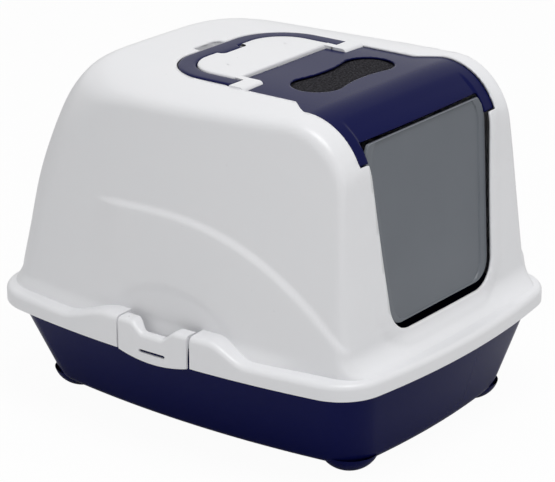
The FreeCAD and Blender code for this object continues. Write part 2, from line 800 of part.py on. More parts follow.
def draw_peanut(sketch, offset, lobe, waist, back):
    """Two round lobes joined by hollow tangent arcs."""
    w, r, d, cy = waist.value, lobe.value, offset.value, -back.value
    hollow = (offset * offset + waist * waist - lobe * lobe) / ((lobe - waist) * 2)
    big = hollow.value
    centres = (V(d, cy, 0), V(0, cy + w + big, 0), V(-d, cy, 0), V(0, cy - w - big, 0))
    touch = []
    for i in (0, 2):
        for j in (1, 3):
            touch.append(centres[i] + (centres[j] - centres[i]).normalize() * r)
    right_up, right_down, left_up, left_down = touch
    sketch.addGeometry(arc_between(centres[0], right_down, right_up), False)
    sketch.addGeometry(arc_between(centres[1], left_up, right_up), False)
    sketch.addGeometry(arc_between(centres[2], left_up, left_down), False)
    sketch.addGeometry(arc_between(centres[3], right_down, left_down), False)
    for first, second in (((0, 2), (1, 2)), ((1, 1), (2, 1)), ((2, 2), (3, 2)), ((3, 1), (0, 1))):
        sketch.addConstraint(Sketcher.Constraint("Tangent", *first, *second))
    place(sketch, 0, 3, offset, -back)
    place(sketch, 2, 3, -offset, -back)
    drive(sketch, lobe, "Radius", 0)
    drive(sketch, lobe, "Radius", 2)
    drive(sketch, hollow, "Radius", 1)
    drive(sketch, hollow, "Radius", 3)


draw_peanut(window_sketch, S.window_offset, S.window_lobe, S.window_waist, S.window_back)
add_pad(window, "window_pad", window_sketch, Size.of(80))
lid_pins = both_sides("lid_pin", S.tongue_half_width - 1, -S.lid_axis_back, S.lid_axis_height,
                      S.lid_pin_radius, S.lid_pin_length + 1)
lid_bosses = both_sides("lid_boss", S.tongue_half_width - S.wall * 2, -S.lid_axis_back, S.lid_axis_height,
                        S.lid_pin_radius + S.wall, S.wall * 2)
FLAP_BORE_X = S.arm_outer - S.arm_width
flap_bosses = both_sides("flap_boss", FLAP_BORE_X, -S.flap_axis_front, S.flap_axis_height,
                         S.flap_pin_radius + S.wall, S.arm_width / 2)
flap_bores = both_sides("flap_bore", FLAP_BORE_X - 1, -S.flap_axis_front, S.flap_axis_height,
                        S.flap_pin_radius + S.running_gap, S.flap_pin_length + 1)

# Filter foam and the frame that clips it below the window
FOAM_TOP = S.roof_height - S.lid_drop - S.wall - S.shelf_drop * 0.5 - S.seat_gap
FOAM_BOTTOM = FOAM_TOP - S.filter_thick


def filter_block(name, grow, bottom, top):
    half = S.filter_half_width + grow
    deep = S.filter_half_depth + grow
    y = -S.window_back
    points = [(half, y + deep), (-half, y + deep), (-half, y - deep), (half, y - deep)]
    body, pad = prism(name, "XY_Plane", bottom, points, top - bottom)
    add_fillet(body, name + "_rounds", pad, S.filter_corner + grow, upright_at(points))
    return body


foam = filter_block("foam", ZERO, FOAM_BOTTOM, FOAM_TOP)
FRAME_BOTTOM = FOAM_BOTTOM - S.seat_gap - S.retainer_wall
frame_wall = filter_block("frame_wall", S.retainer_wall + S.seat_gap, FRAME_BOTTOM, FOAM_TOP)
frame_void = filter_block("frame_void", S.seat_gap, FRAME_BOTTOM + S.retainer_wall, FOAM_TOP + 5)
frame_open = filter_block("frame_open", -S.retainer_bar * 2, FRAME_BOTTOM - 5, FOAM_TOP + 5)
frame_ring = cut("frame_ring", frame_wall, frame_void, frame_open)
bars = []
for i in (-2, -1, 0, 1, 2):
    x = S.filter_half_width * 0.36 * i
    bars.append(box("bar_across_%d" % (i + 2), x - S.retainer_bar / 2, x + S.retainer_bar / 2,
                    3 - S.window_back - S.filter_half_depth, S.filter_half_depth - S.window_back - 3,
                    FRAME_BOTTOM, FRAME_BOTTOM + S.retainer_wall))
bars.append(box("bar_along", 3 - S.filter_half_width, S.filter_half_width - 3,
                -S.window_back - S.retainer_bar / 2, S.retainer_bar / 2 - S.window_back,
                FRAME_BOTTOM, FRAME_BOTTOM + S.retainer_wall))
retainer = fuse("retainer", frame_ring, *bars)
CLIP_X = S.filter_half_width + S.retainer_wall + S.seat_gap * 2
clip_stem = box("clip_stem", CLIP_X, CLIP_X + S.wall, -S.window_back - 10, 10 - S.window_back,
                FRAME_BOTTOM - S.seat_gap - S.wall, S.roof_height - S.lid_drop - 1)
clip_hook = box("clip_hook", CLIP_X - S.wall, CLIP_X + 1, -S.window_back - 10, 10 - S.window_back,
                FRAME_BOTTOM - S.seat_gap - S.wall, FRAME_BOTTOM - S.seat_gap)
clip_right = fuse("clip_right", clip_stem, clip_hook)
clip_left = mirror_x("clip_left", clip_right)

lid_full = fuse("lid_full", cut("lid_windowed", lid_shell, window), *lid_pins, *lid_bosses, *flap_bosses,
                clip_right, clip_left)
lid = cut("lid_part", lid_full, *flap_bores)

# Flap: bevelled tray hung on two stubs, drawn about its own hinge line
flap = new_body("flap_part")
FLAP_RUN = S.arm_bottom - S.door_bottom
FLAP_SLOPE = (S.door_top_half - S.door_bottom_half) / FLAP_RUN
FLAP_LOW = S.door_bottom + S.flap_sill_gap - S.flap_axis_height
FLAP_LOW_HALF = S.door_bottom_half + FLAP_SLOPE * S.flap_sill_gap - S.flap_gap
FLAP_BEND = S.arm_bottom - S.flap_axis_height - 10
FLAP_BEND_HALF = S.door_top_half - FLAP_SLOPE * 10 - S.flap_gap
FLAP_TOP_HALF = FLAP_BORE_X - 0.8


def flap_plan(inset):
    low = FLAP_LOW + inset
    top = S.flap_head - inset
    right = [
        (FLAP_LOW_HALF - inset + FLAP_SLOPE * inset, low),
        (FLAP_BEND_HALF - inset, FLAP_BEND),
        (FLAP_TOP_HALF - inset, top),
    ]
    return right + [(-x, z) for x, z in reversed(right)]


def flap_layer(name, inset, offset, length, kind, taper, reverse=False):
    points = flap_plan(inset)
    sketch = new_sketch(flap, name + "_outline", "XZ_Plane", offset)
    draw_polygon(sketch, points)
    return add_pad(flap, name, sketch, length, reverse, kind, taper)


flap_plate = flap_layer("flap_plate", ZERO, S.flap_face - S.flap_thick, S.flap_thick, "PartDesign::Pad", 0)
flap_points = flap_plan(ZERO)
add_fillet(flap, "flap_rounds", flap_plate, S.door_corner - S.flap_gap,
           across_at([flap_points[0], flap_points[5]]))
for word, side in (("right", 1), ("left", -1)):
    start = FLAP_TOP_HALF - 2
    sketch = new_sketch(flap, "flap_pin_%s_outline" % word, "YZ_Plane", start * side)
    draw_circle(sketch, ZERO, ZERO, S.flap_pin_radius)
    add_pad(flap, "flap_pin_" + word, sketch, S.flap_pin_length + 1.6, side < 0)
    sketch = new_sketch(flap, "flap_ear_%s_outline" % word, "YZ_Plane", FLAP_TOP_HALF * side)
    ear = S.flap_pin_radius + 1.5
    ear_front = 1 - S.flap_face
    draw_polygon(sketch, [(ear_front, -ear), (ZERO, -ear), (ear, ZERO), (ZERO, ear), (ear_front, ear)])
    add_pad(flap, "flap_ear_" + word, sketch, S.flap_border, side > 0)
flap_layer("flap_panel", S.flap_border, S.flap_face - S.flap_thick / 2,
           S.flap_bevel + S.flap_thick / 2, "PartDesign::Pad", -45)
flap_layer("flap_hollow", S.flap_border + S.flap_thick * 0.7, S.flap_face - S.flap_thick - 1,
           S.flap_bevel + 1, "PartDesign::Pocket", -45, True)
flap.Placement = FreeCAD.Placement(V(0, -S.flap_axis_front.value, S.flap_axis_height.value),
                                   FreeCAD.Rotation(V(1, 0, 0), -S.flap_lean.value))
flap.setExpression("Placement.Base.y", (-S.flap_axis_front).text)
flap.setExpression("Placement.Base.z", S.flap_axis_height.text)

# Carrying handle
handle_bail = new_body("handle_bail")
bail_sketch = new_sketch(handle_bail, "bail_outline", "XY_Plane", HANDLE_UNDER)
bail_outer = bail_plan(S.handle_half_width, S.handle_rear, S.handle_axis_front)
bail_inner = bail_plan(S.handle_half_width - S.handle_bar, S.handle_rear - S.handle_bar, S.handle_axis_front)
draw_polygon(bail_sketch, bail_outer + list(reversed(bail_inner)))
bail_pad = add_pad(handle_bail, "bail_pad", bail_sketch, S.handle_thick)
bail_round = add_fillet(handle_bail, "bail_outer_rounds", bail_pad, S.handle_corner,
                        upright_at(bail_outer[1:3]))
bail_round = add_fillet(handle_bail, "bail_inner_rounds", bail_round, S.handle_corner - S.handle_bar,
                        upright_at(bail_inner[1:3]))
handle_ends = []
for word, side in (("right", 1), ("left", -1)):
    handle_ends.append(rod("handle_end_" + word, (S.handle_half_width - S.handle_bar) * side, -S.handle_axis_front,
                           HANDLE_AXIS, S.handle_thick / 2, S.handle_bar, V(side, 0, 0)))
handle_pins = both_sides("handle_pin", S.handle_half_width - 1, -S.handle_axis_front, HANDLE_AXIS,
                         S.handle_pin_radius, S.handle_pin_length + 1)
handle = fuse("handle_part", handle_bail, *handle_ends, *handle_pins)

# Side latch: bowed plate, two barrels, hook and stubs
plate_outer, _ = skirt("plate_outer", -S.latch_proud, S.latch_mid_bottom - 5, FAR)
plate_inner, _ = skirt("plate_inner", S.latch_thick - S.latch_proud, S.latch_mid_bottom - 10, FAR + 20)
plate_shell = cut("plate_shell", plate_outer, plate_inner)
latch_outline = new_body("latch_outline")
latch_sketch = new_sketch(latch_outline, "latch_front_view", "YZ_Plane", S.half_width - 30)


def draw_latch(sketch):
    """Latch seen from the side: straight ends, dipped top and a smiling lower edge."""
    half = S.latch_half_length
    c = S.latch_offset
    top = S.latch_axis_height - S.latch_dip
    low = S.latch_end_bottom
    mid = S.latch_mid_bottom
    left = V((c - half).value, low.value, 0)
    right = V((c + half).value, low.value, 0)
    bottom = V(c.value, mid.value, 0)
    smile = Part.Arc(left, bottom, right)
    sketch.addGeometry(smile, False)
    corner_right = V(right.x, top.value, 0)
    corner_left = V(left.x, top.value, 0)
    sketch.addGeometry(Part.LineSegment(right, corner_right), False)
    sketch.addGeometry(Part.LineSegment(corner_right, corner_left), False)
    sketch.addGeometry(Part.LineSegment(corner_left, left), False)
    for first, second in (((0, 2), (1, 1)), ((1, 2), (2, 1)), ((2, 2), (3, 1)), ((3, 2), (0, 1))):
        sketch.addConstraint(Sketcher.Constraint("Coincident", *first, *second))
    place(sketch, 1, 1, c + half, low)
    place(sketch, 2, 1, c + half, top)
    place(sketch, 3, 1, c - half, top)
    place(sketch, 3, 2, c - half, low)
    sag = low - mid
    drive(sketch, (half * half + sag * sag) / (sag * 2), "Radius", 0)


draw_latch(latch_sketch)
add_pad(latch_outline, "latch_pad", latch_sketch, Size.of(60))
latch_plate = common("latch_plate", latch_outline, plate_shell)
barrel_length = S.latch_half_length - S.latch_dip_half
barrels = [
    rod("barrel_front", LATCH_X, S.latch_offset - S.latch_half_length, S.latch_axis_height, S.latch_barrel,
        barrel_length, V(0, 1, 0)),
    rod("barrel_rear", LATCH_X, S.latch_offset + S.latch_dip_half, S.latch_axis_height, S.latch_barrel,
        barrel_length, V(0, 1, 0)),
]
latch_pin = rod("latch_pin", LATCH_X, S.latch_offset - S.latch_half_length - S.latch_pin_length, S.latch_axis_height,
                S.latch_pin_radius, S.latch_half_length * 2 + S.latch_pin_length * 2, V(0, 1, 0))
PLATE_IN = S.half_width + S.latch_proud - S.latch_thick
HOOK_TOP = S.pan_lip_bottom - S.seat_gap
hook_block = box("hook_block", PLATE_IN - S.latch_hook_reach, PLATE_IN + 1, S.latch_offset - S.latch_slot_half,
                 S.latch_offset + S.latch_slot_half, HOOK_TOP - S.latch_hook_tall, HOOK_TOP)
slot_low = S.latch_slot_height - S.latch_slot_tall / 2
slot_box = box("slot_box", S.half_width - 30, S.half_width + 30, S.latch_offset - S.latch_slot_half,
               S.latch_offset + S.latch_slot_half, slot_low, slot_low + S.latch_slot_tall)
slot_ends = [
    rod("slot_end_%s" % word, S.half_width - 30, S.latch_offset + S.latch_slot_half * side, S.latch_slot_height,
        S.latch_slot_tall / 2, Size.of(60), V(1, 0, 0))
    for word, side in (("front", -1), ("rear", 1))
]
latch_body = fuse("latch_body", latch_plate, *barrels, latch_pin, hook_block)
latch_right = cut("latch_right_part", latch_body, slot_box, *slot_ends)
latch_left = mirror_x("latch_left_part", latch_right)


# Pan: tapered tub, rolled rim, four feet
def tub(tag, inset, floor, mouth):
    """Tub whose lower edge rolls from the floor into the leaning wall."""
    body = new_body(tag)
    bows = (S.side_bow - inset, S.front_bow - inset, S.rear_bow - inset)
    roll = S.pan_edge - inset
    lean = math.radians(S.pan_lean.value)
    sketches = []
    for i in range(4):
        turn = (math.pi / 2 - lean) * i / 3
        tuck = roll * (math.cos(lean) - math.sin(turn)) + inset
        sketch = new_sketch(body, "%s_roll_%d" % (tag, i), "XY_Plane", floor + roll * (1 - math.cos(turn)))
        draw_barrel(sketch, S.pan_floor_half_width - tuck, S.pan_floor_front - tuck, S.pan_floor_rear - tuck, bows,
                    S.pan_floor_corner - tuck, S.pan_floor_corner - tuck)
        sketches.append(sketch)
    add_loft(body, tag + "_roll", sketches)
    heel = new_sketch(body, tag + "_heel", "XY_Plane", floor + roll * (1 - math.sin(lean)))
    draw_barrel(heel, S.pan_floor_half_width - inset, S.pan_floor_front - inset, S.pan_floor_rear - inset, bows,
                S.pan_floor_corner - inset, S.pan_floor_corner - inset)
    rim = new_sketch(body, tag + "_mouth", "XY_Plane", mouth)
    draw_barrel(rim, S.pan_rim_half_width - inset, S.pan_rim_length - inset, S.pan_rim_length - inset, bows,
                S.pan_rim_corner - inset, S.pan_rim_corner - inset)
    add_loft(body, tag + "_wall", [heel, rim])
    return body


def feet(tag, inset):
    """Bulbs that swell from the floor, cut flat where they stand."""
    items = []
    for i, (sx, y) in enumerate(((1, -S.foot_front_back), (-1, -S.foot_front_back),
                                 (1, S.foot_rear_back), (-1, S.foot_rear_back))):
        bulb = doc.addObject("Part::Ellipsoid", "%s_%d" % (tag, i))
        for prop, size in (("Radius1", S.foot_depth - inset), ("Radius2", S.foot_radius - inset)):
            setattr(bulb, prop, size.value)
            bulb.setExpression(prop, size.text)
        bulb.Radius3 = 0
        spot = (S.foot_side * sx, y, S.foot_depth - S.foot_flat)
        bulb.Placement = FreeCAD.Placement(V(*[size.value for size in spot]), FreeCAD.Rotation())
        for axis, size in zip("xyz", spot):
            bulb.setExpression("Placement.Base.%s" % axis, size.text)
        items.append(bulb)
    room = box(tag + "_room", -FAR, FAR, -FAR, FAR, inset, S.foot_depth)
    return common(tag, fuse(tag + "_bulbs", *items), room)


PAN_TOP = RIM_TOP - S.wall - S.seat_gap
LIP_INSET = S.wall + S.pan_play
tub_outer = tub("tub_outer", ZERO, S.pan_floor, PAN_TOP)
tub_inner = tub("tub_inner", S.wall, S.pan_floor + S.wall, PAN_TOP + S.seat_gap)
lip_block, lip_pad = skirt("lip_block", LIP_INSET, S.pan_lip_bottom, PAN_TOP - S.pan_lip_bottom)
add_fillet(lip_block, "lip_round", lip_pad, S.wall, level(PAN_TOP.value))
lip_core, _ = skirt("lip_core", LIP_INSET + S.wall, S.pan_lip_bottom - 5,
                               PAN_TOP - S.wall - S.pan_lip_bottom + 5)
lip = cut("lip", lip_block, lip_core)
pan_solid = fuse("pan_solid", tub_outer, lip, feet("foot", ZERO))
pan_hollow = fuse("pan_hollow", tub_inner, feet("foot_hollow", S.wall))
pan = cut("pan_part", pan_solid, pan_hollow)

doc.recompute()

NODES = {
    "pan": pan,
    "hood": hood,
    "lid": lid,
    "flap": flap,
    "handle": handle,
    "latch_left": latch_left,
    "latch_right": latch_right,
    "filter_pad": foam,
    "filter_retainer": retainer,
}
for item in doc.Objects:
    if "Invalid" in item.State or "Error" in item.State:
        raise RuntimeError("%s is %s" % (item.Name, item.State))
os.makedirs("parts", exist_ok=True)
for node, item in NODES.items():
    item.Label = node
    shape = item.Shape
    if shape.isNull() or not shape.isValid() or len(shape.Solids) != 1:
        raise RuntimeError("%s has %d solids, valid %s" % (node, len(shape.Solids), shape.isValid()))
    shape.exportStep("parts/%s.step" % node)
    print("%-16s %8.1f cm3" % (node, shape.Volume / 1000))
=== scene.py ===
import math

import bmesh
import bpy
import numpy as np
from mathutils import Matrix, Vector


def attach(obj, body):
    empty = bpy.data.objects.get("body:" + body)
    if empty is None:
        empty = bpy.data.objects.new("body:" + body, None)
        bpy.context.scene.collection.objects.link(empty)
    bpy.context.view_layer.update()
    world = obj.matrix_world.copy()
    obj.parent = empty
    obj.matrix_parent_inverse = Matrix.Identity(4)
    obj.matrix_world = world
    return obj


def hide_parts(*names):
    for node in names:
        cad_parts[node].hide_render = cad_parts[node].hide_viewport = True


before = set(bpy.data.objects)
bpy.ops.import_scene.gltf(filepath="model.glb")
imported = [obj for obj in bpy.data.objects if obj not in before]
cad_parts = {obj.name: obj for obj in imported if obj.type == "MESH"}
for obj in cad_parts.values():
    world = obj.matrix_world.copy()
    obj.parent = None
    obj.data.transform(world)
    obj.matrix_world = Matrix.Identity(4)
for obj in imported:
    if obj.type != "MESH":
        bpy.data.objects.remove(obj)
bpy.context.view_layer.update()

# Sizes of the litter box in millimetres, in the frame of the solids
RIM_HALF, RIM_LONG = 206.0, 250.0
SIDE_BOW, FRONT_BOW, REAR_BOW = BOWS = 1166.0, 928.0, 909.0
RIM_FRONT_CORNER, RIM_REAR_CORNER = 53.0, 61.0
SKIRT_BOTTOM, RIM_TOP, WALL = 105.0, 122.4, 2.5
HEIGHTS = np.array([100.0, 140.0, 180.0, 240.0, 300.0, 345.0, 385.0])
HALVES = np.array([188.5, 184.7, 180.9, 174.5, 167.5, 162.0, 157.0])
FRONTS = np.array([246.0, 230.0, 220.0, 211.0, 206.0, 204.0, 204.0])
REARS = np.array([242.0, 238.2, 229.9, 217.5, 204.5, 184.0, 135.0])
FRONT_CORNERS = np.array([46.0, 36.0, 27.0, 16.0, 9.0, 9.0, 9.0])
REAR_CORNERS = np.array([52.0, 57.0, 60.0, 62.0, 92.0, 116.0, 114.0])
ROOF, BROW_RADIUS, BROW_REACH = 367.5, 62.0, 200.0
FACE_BOW, FACE_FOOT, FACE_BOTTOM, FLARE = 4000.0, 215.0, 146.8, 24.0
FOOT_FLARE, FOOT_FLARE_LOW, FOOT_FLARE_HIGH = 6.0, -8.0, 16.0
FLARE_FRONT, FLARE_SIDE = -190.0, -120.0
ROOF_DROP, ROOF_DROP_FRONT, ROOF_DROP_REAR, ROOF_END = 1.0, 18.0, 92.0, 280.0
EDGE_FRONT, EDGE_REAR, SURROUND, SURROUND_WIDE, SURROUND_SOFT = 8.0, 14.0, 1.7, 13.5, 3.0
NEAR_X, FAR_X = 100.0, 215.0
LID_DROP, LID_GAP, LID_WALL, BROW_STEP = 2.0, 0.8, 2.0, 1.5
LID_HALF, JOG_START, JOG_END = 100.6, 105.0, 127.0
TONGUE_HALF, TONGUE_REAR, LID_REAR = 69.5, -17.0, -42.3
ARM_OUTER, ARM_INNER, ARM_BOTTOM, BROW_BOTTOM = 120.4, 103.4, 322.0, 339.2
WINDOW_X, WINDOW_Y, WINDOW_LOBE, WINDOW_OFFSET, WINDOW_WAIST = 4.0, -85.6, 27.2, 44.0, 21.4
INSIDE_Y, DOOR_HEAD, LID_CUT_REAR, TROUGH_FRONT, CUT_FLOOR = -150.0, 335.0, -20.0, -21.0, 300.0
DOOR_BOTTOM, DOOR_BOTTOM_HALF, DOOR_TOP_HALF, DOOR_CORNER = 144.3, 89.4, 107.2, 27.5
FLAP_AXIS_Y, FLAP_AXIS_Z, FLAP_LEAN, FLAP_FACE = -182.0, 331.0, 6.8, 6.0
FLAP_HEAD, FLAP_NECK, FLAP_FOOT_GAP, FLAP_SIDE_GAP, FLAP_ARM_GAP = 5.6, 20.0, 3.4, 0.6, 1.0
FLAP_SHOULDER = ((0.0, 8.0), (0.7, 6.8), (5.2, 0.7), (6.4, 0.0))
HANDLE_HALF, HANDLE_REAR, HANDLE_BAR, HANDLE_CORNER = 98.6, 78.0, 18.6, 62.0
HANDLE_AXIS_Y, HANDLE_TOP, HANDLE_THICK, HANDLE_STUB, HANDLE_SQUARE = -17.0, 368.0, 9.0, 4.4, 0.35
TAB_DEEP, TAB_HALF, TAB_SOFT = 7.0, 14.0, 4.0
PAD_TOP, PAD_FRONT, TROUGH_FLOOR, TROUGH_GAP = 369.0, -14.2, 357.5, 1.2
WELL_HALF, WELL_FRONT, WELL_BACK, WELL_FLOOR, WELL_CORNER = 21.0, 48.0, 90.0, 350.5, 6.0
HINGE_FRONT, HINGE_BACK, HINGE_TOP, HINGE_LOW, HINGE_ROUND = -41.5, -22.4, 368.2, 349.5, 5.5
LATCH_Y, LATCH_HALF, LATCH_DIP, LATCH_FOOT, LATCH_BOW = -4.0, 44.0, 128.5, 104.4, 6.0
LATCH_PROUD, LATCH_ROUND, LATCH_DEEP, EAR_DEEP, EAR_START, EAR_END = 0.6, 5.0, 9.0, 7.0, 11.0, 29.0
LATCH_WALL, LATCH_SHELF, LATCH_GAP = 2.6, 2.4, 0.2
NOTCH_FLOOR, NOTCH_INSET, NOTCH_GAP, RIM_ROUND = 117.0, 9.8, 2.2, 6.0
CHEEK_TOP, CHEEK_REAR, CHEEK_FRONT, RIM_SIDE = 139.0, (60.0, 128.0), (68.0, 114.0), 150.0
SLOT_HALF, SLOT_Z, SLOT_TALL = 15.0, 110.0, 3.4
PAN_TOP, LIP_BOTTOM, LIP_INSET = 119.4, 108.5, 3.3
PAN_FLOOR, PAN_ROLL, PAN_LEAN, PAN_FLOOR_CORNER = 11.0, 15.0, 15.0, 30.0
PAN_HALF, PAN_FRONT, PAN_REAR, PAN_CORNER = 156.0, 215.0, 208.0, 42.0
SPREAD_SIDE, SPREAD_FRONT, SPREAD_REAR, SPREAD_CORNER = 38.0, 27.0, 34.0, 3.0
FOOT_X, FOOT_FRONT, FOOT_REAR, FOOT_WIDE, FOOT_TALL, FOOT_SINK = 110.5, -179.0, 174.0, 31.0, 26.0, 25.0
FOOT_START, FOOT_END, FOOT_INNER, FOOT_OUTER = 0.28, 1.346, 12.2, 19.2
FOAM_HALF, FOAM_DEEP, FOAM_CORNER, FOAM_TOP, FOAM_BULGE = 79.0, 38.0, 10.0, 361.9, 2.6
FOAM_SIDE = ((37.9, 354.4), (12.0, 354.4), (1.0, 354.6), (0.0, 355.6), (0.0, 360.6))

# Relief of the hood's sides: the crease as places along and up, the haunch below it, the hollow over the latch
CREASE_ALONG = (-220.0, -200.0, -176.0, -148.5, -120.6, -92.2, -63.3, -33.7, 0.0, 43.6, 76.6, 120.0)
CREASE_UP = (140.0, 160.8, 182.6, 204.4, 220.1, 232.6, 242.0, 248.1, 250.5, 249.1, 248.0, 246.0)
HAUNCH, HAUNCH_FADE, HAUNCH_END = 3.2, 115.0, (60.0, 105.0)
HOLLOW, HOLLOW_LONG, HOLLOW_HIGH, HOLLOW_BACK, HOLLOW_DROP = 2.2, 84.0, 52.0, 6.0, 13.0

# Rays that feel out the hood: the outline they aim at, where they start and where they begin to tilt
RAY_HALF, RAY_FRONT, RAY_REAR, RAY_FRONT_CORNER, RAY_REAR_CORNER = 174.0, 212.0, 218.0, 16.0, 60.0
RAY_Y, RAY_TURN, RAY_LEVELS, RAY_TILTS, HOOD_FOOT = -5.0, 290.0, 82, 70, 11.0

# Studio: lamps as name, place in metres, size and power; camera fitted to the photo
SKY_LEVEL, FLOOR_GLOW, FLOOR_REACH = 0.42, 0.96, 30.0
LAMPS = (("softbox", (-0.3, -0.8, 2.5), 1.6, 31.0), ("fill", (-2.4, 0.3, 0.9), 1.4, 2.6))
LAMP_AIM = (0.0, 0.0, 0.2)
CAMERA_TURN, CAMERA_LIFT, CAMERA_FAR, CAMERA_LENS, CAMERA_SENSOR = -52.93, 20.45, 2.63105, 161.65, 36.0
CAMERA_AIM = (0.00762, 0.0, 0.16579)


class Socket:
    """A shader socket that takes part in Python expressions."""

    def __init__(self, tree, link):
        self.tree = tree
        self.link = link

    def math(self, kind, *values):
        return self.tree.node("ShaderNodeMath", {"operation": kind}, *values)

    def __add__(self, other):
        return self.math("ADD", self, other)

    def __radd__(self, other):
        return self.math("ADD", other, self)

    def __sub__(self, other):
        return self.math("SUBTRACT", self, other)

    def __rsub__(self, other):
        return self.math("SUBTRACT", other, self)

    def __mul__(self, other):
        return self.math("MULTIPLY", self, other)

    def __rmul__(self, other):
        return self.math("MULTIPLY", other, self)


class Finish:
    """The node tree of a material or a world, with one method for every node."""

    def __init__(self, owner):
        owner.use_nodes = True
        self.owner = owner
        self.tree = owner.node_tree

    def first(self, kind):
        return next(n for n in self.tree.nodes if n.type == kind)

    def fill(self, node, values):
        pairs = values.items() if isinstance(values, dict) else enumerate(values)
        for key, value in pairs:
            if isinstance(value, Socket):
                self.tree.links.new(value.link, node.inputs[key])
            elif value is not None:
                node.inputs[key].default_value = value

    def node(self, kind, settings, *values, out=0, **named):
        made = self.tree.nodes.new(kind)
        for key, value in settings.items():
            setattr(made, key, value)
        self.fill(made, values)
        self.fill(made, named)
        return Socket(self, made.outputs[out])

    def place(self):
        return self.node("ShaderNodeTexCoord", {}, out=3)

    def noise(self, scale, detail):
        return self.node("ShaderNodeTexNoise", {}, Vector=self.place(), Scale=scale, Detail=detail)

    def blend(self, amount, first, second):
        spare = [None] * 5
        return self.node("ShaderNodeMix", {"data_type": "RGBA"}, amount, *spare, first, second, out=2)

    def bump(self, height, strength, distance):
        return self.node("ShaderNodeBump", {}, Strength=strength, Distance=distance, Height=height)

    def set(self, **sockets):
        shader = self.first("BSDF_PRINCIPLED")
        self.fill(shader, {key.replace("_", " "): value for key, value in sockets.items()})


def linear(*levels):
    """Colour levels of a screen, 0 to 255, as linear light."""
    c = np.array(levels) / 255.0
    return tuple(np.where(c <= 0.04045, c / 12.92, ((c + 0.055) / 1.055) ** 2.4)) + (1.0,)


def moulded(name, base, tint, gloss, level):
    """Polished moulded plastic: faint flow clouds in colour and gloss, and a fine skin."""
    f = Finish(bpy.data.materials.new(name))
    cloud = f.noise(7.0, 4.0)
    skin = f.noise(900.0, 2.0)
    speck = f.noise(160.0, 2.0)
    f.set(Base_Color=f.blend(cloud, base, tint), Roughness=gloss + (speck - 0.5) * 0.08 + (cloud - 0.5) * 0.06,
          Normal=f.bump(skin, 0.02, 0.0002), Specular_IOR_Level=level)
    return f.owner


WHITE = moulded("white_plastic", linear(239, 239, 241), linear(234, 235, 238), 0.3, 0.5)
NAVY = moulded("navy_plastic", linear(13, 17, 66), linear(16, 20, 71), 0.18, 0.045)
NAVY_SATIN = moulded("navy_satin", linear(16, 20, 66), linear(21, 25, 72), 0.3, 0.055)


def smoky_sheet():
    """Smoky clear plastic: grey, part see-through, with faint streaks."""
    f = Finish(bpy.data.materials.new("smoky_clear"))
    cloud = f.noise(9.0, 3.0)
    f.set(Base_Color=f.blend(cloud, linear(112, 117, 124), linear(122, 127, 134)), Roughness=0.2 + cloud * 0.06,
          Alpha=0.86, Specular_IOR_Level=0.25)
    return f.owner


def carbon_foam():
    """Open foam: dark cells with paler grains."""
    f = Finish(bpy.data.materials.new("carbon_foam"))
    cells = f.node("ShaderNodeTexVoronoi", {}, Vector=f.place(), Scale=620.0)
    grain = f.noise(420.0, 3.0)
    fleck = f.node("ShaderNodeMath", {"operation": "MULTIPLY_ADD", "use_clamp": True}, grain, 4.0, -1.5)
    f.set(Base_Color=f.blend(fleck, linear(20, 19, 22), linear(58, 57, 62)), Roughness=0.95,
          Normal=f.bump(cells, 0.9, 0.002), Specular_IOR_Level=0.1)
    return f.owner


SMOKY = smoky_sheet()
FOAM = carbon_foam()


def sheet_of(p, wrap=False):
    """Points of a grid and the quads between its rows and columns."""
    rows, cols = p.shape[:2]
    index = np.arange(rows * cols).reshape(rows, cols)
    if wrap:
        index = np.concatenate([index, index[:, :1]], axis=1)
    quads = np.stack([index[:-1, :-1], index[:-1, 1:], index[1:, 1:], index[1:, :-1]], axis=-1)
    return p.reshape(-1, 3), quads.reshape(-1, 4).tolist()


def piece(name, sheets, body, nodes, material, angle=40.0):
    """One mesh from several sheets of points and faces, with their seams merged."""
    points, faces, start = [], [], 0
    for p, polygons in sheets:
        points.append(p * 0.001)
        faces += [[i + start for i in polygon] for polygon in polygons]
        start += len(p)
    mesh = bpy.data.meshes.new(name)
    mesh.from_pydata(np.concatenate(points).tolist(), [], faces)
    work = bmesh.new()
    work.from_mesh(mesh)
    bmesh.ops.remove_doubles(work, verts=work.verts, dist=2e-5)
    bmesh.ops.dissolve_degenerate(work, edges=work.edges, dist=1e-6)
    loose = [v for v in work.verts if not v.link_faces]
    bmesh.ops.delete(work, geom=loose, context="VERTS")
    work.to_mesh(mesh)
    work.free()
    mesh.shade_smooth()
    mesh.set_sharp_from_angle(angle=math.radians(angle))
    mesh.materials.append(material)
    item = bpy.data.objects.new(name, mesh)
    bpy.context.scene.collection.objects.link(item)
    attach(item, body)
    if nodes:
        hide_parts(*nodes)
    return item


def thicken(item, depth):
    """Gives a skin its wall, inwards from the outer face."""
    wall = item.modifiers.new("wall", "SOLIDIFY")
    wall.thickness = depth * 0.001
    wall.offset = -1.0
    wall.use_even_offset = True


def round_both(a, b, r):
    """Overlap of two distance fields with their edge rounded to radius r."""
    return np.minimum(-r, np.maximum(a, b)) + np.hypot(np.maximum(a + r, 0.0), np.maximum(b + r, 0.0))


def round_corner(a, b, r, lean):
    """The same where the normals of the fields have the cosine lean, so that the round stays a true arc."""
    a1, b1 = a + r, b + r
    arc = np.sqrt(np.maximum(a1 * a1 + b1 * b1 - 2.0 * lean * a1 * b1, 0.0) / (1.0 - lean * lean)) - r
    return np.where((a1 > lean * b1) & (b1 > lean * a1), arc, np.maximum(a, b))


def smooth(low, high, value):
    """Soft step from 0 at low to 1 at high."""
    t = np.clip((value - low) / (high - low), 0.0, 1.0)
    return t * t * (3.0 - 2.0 * t)


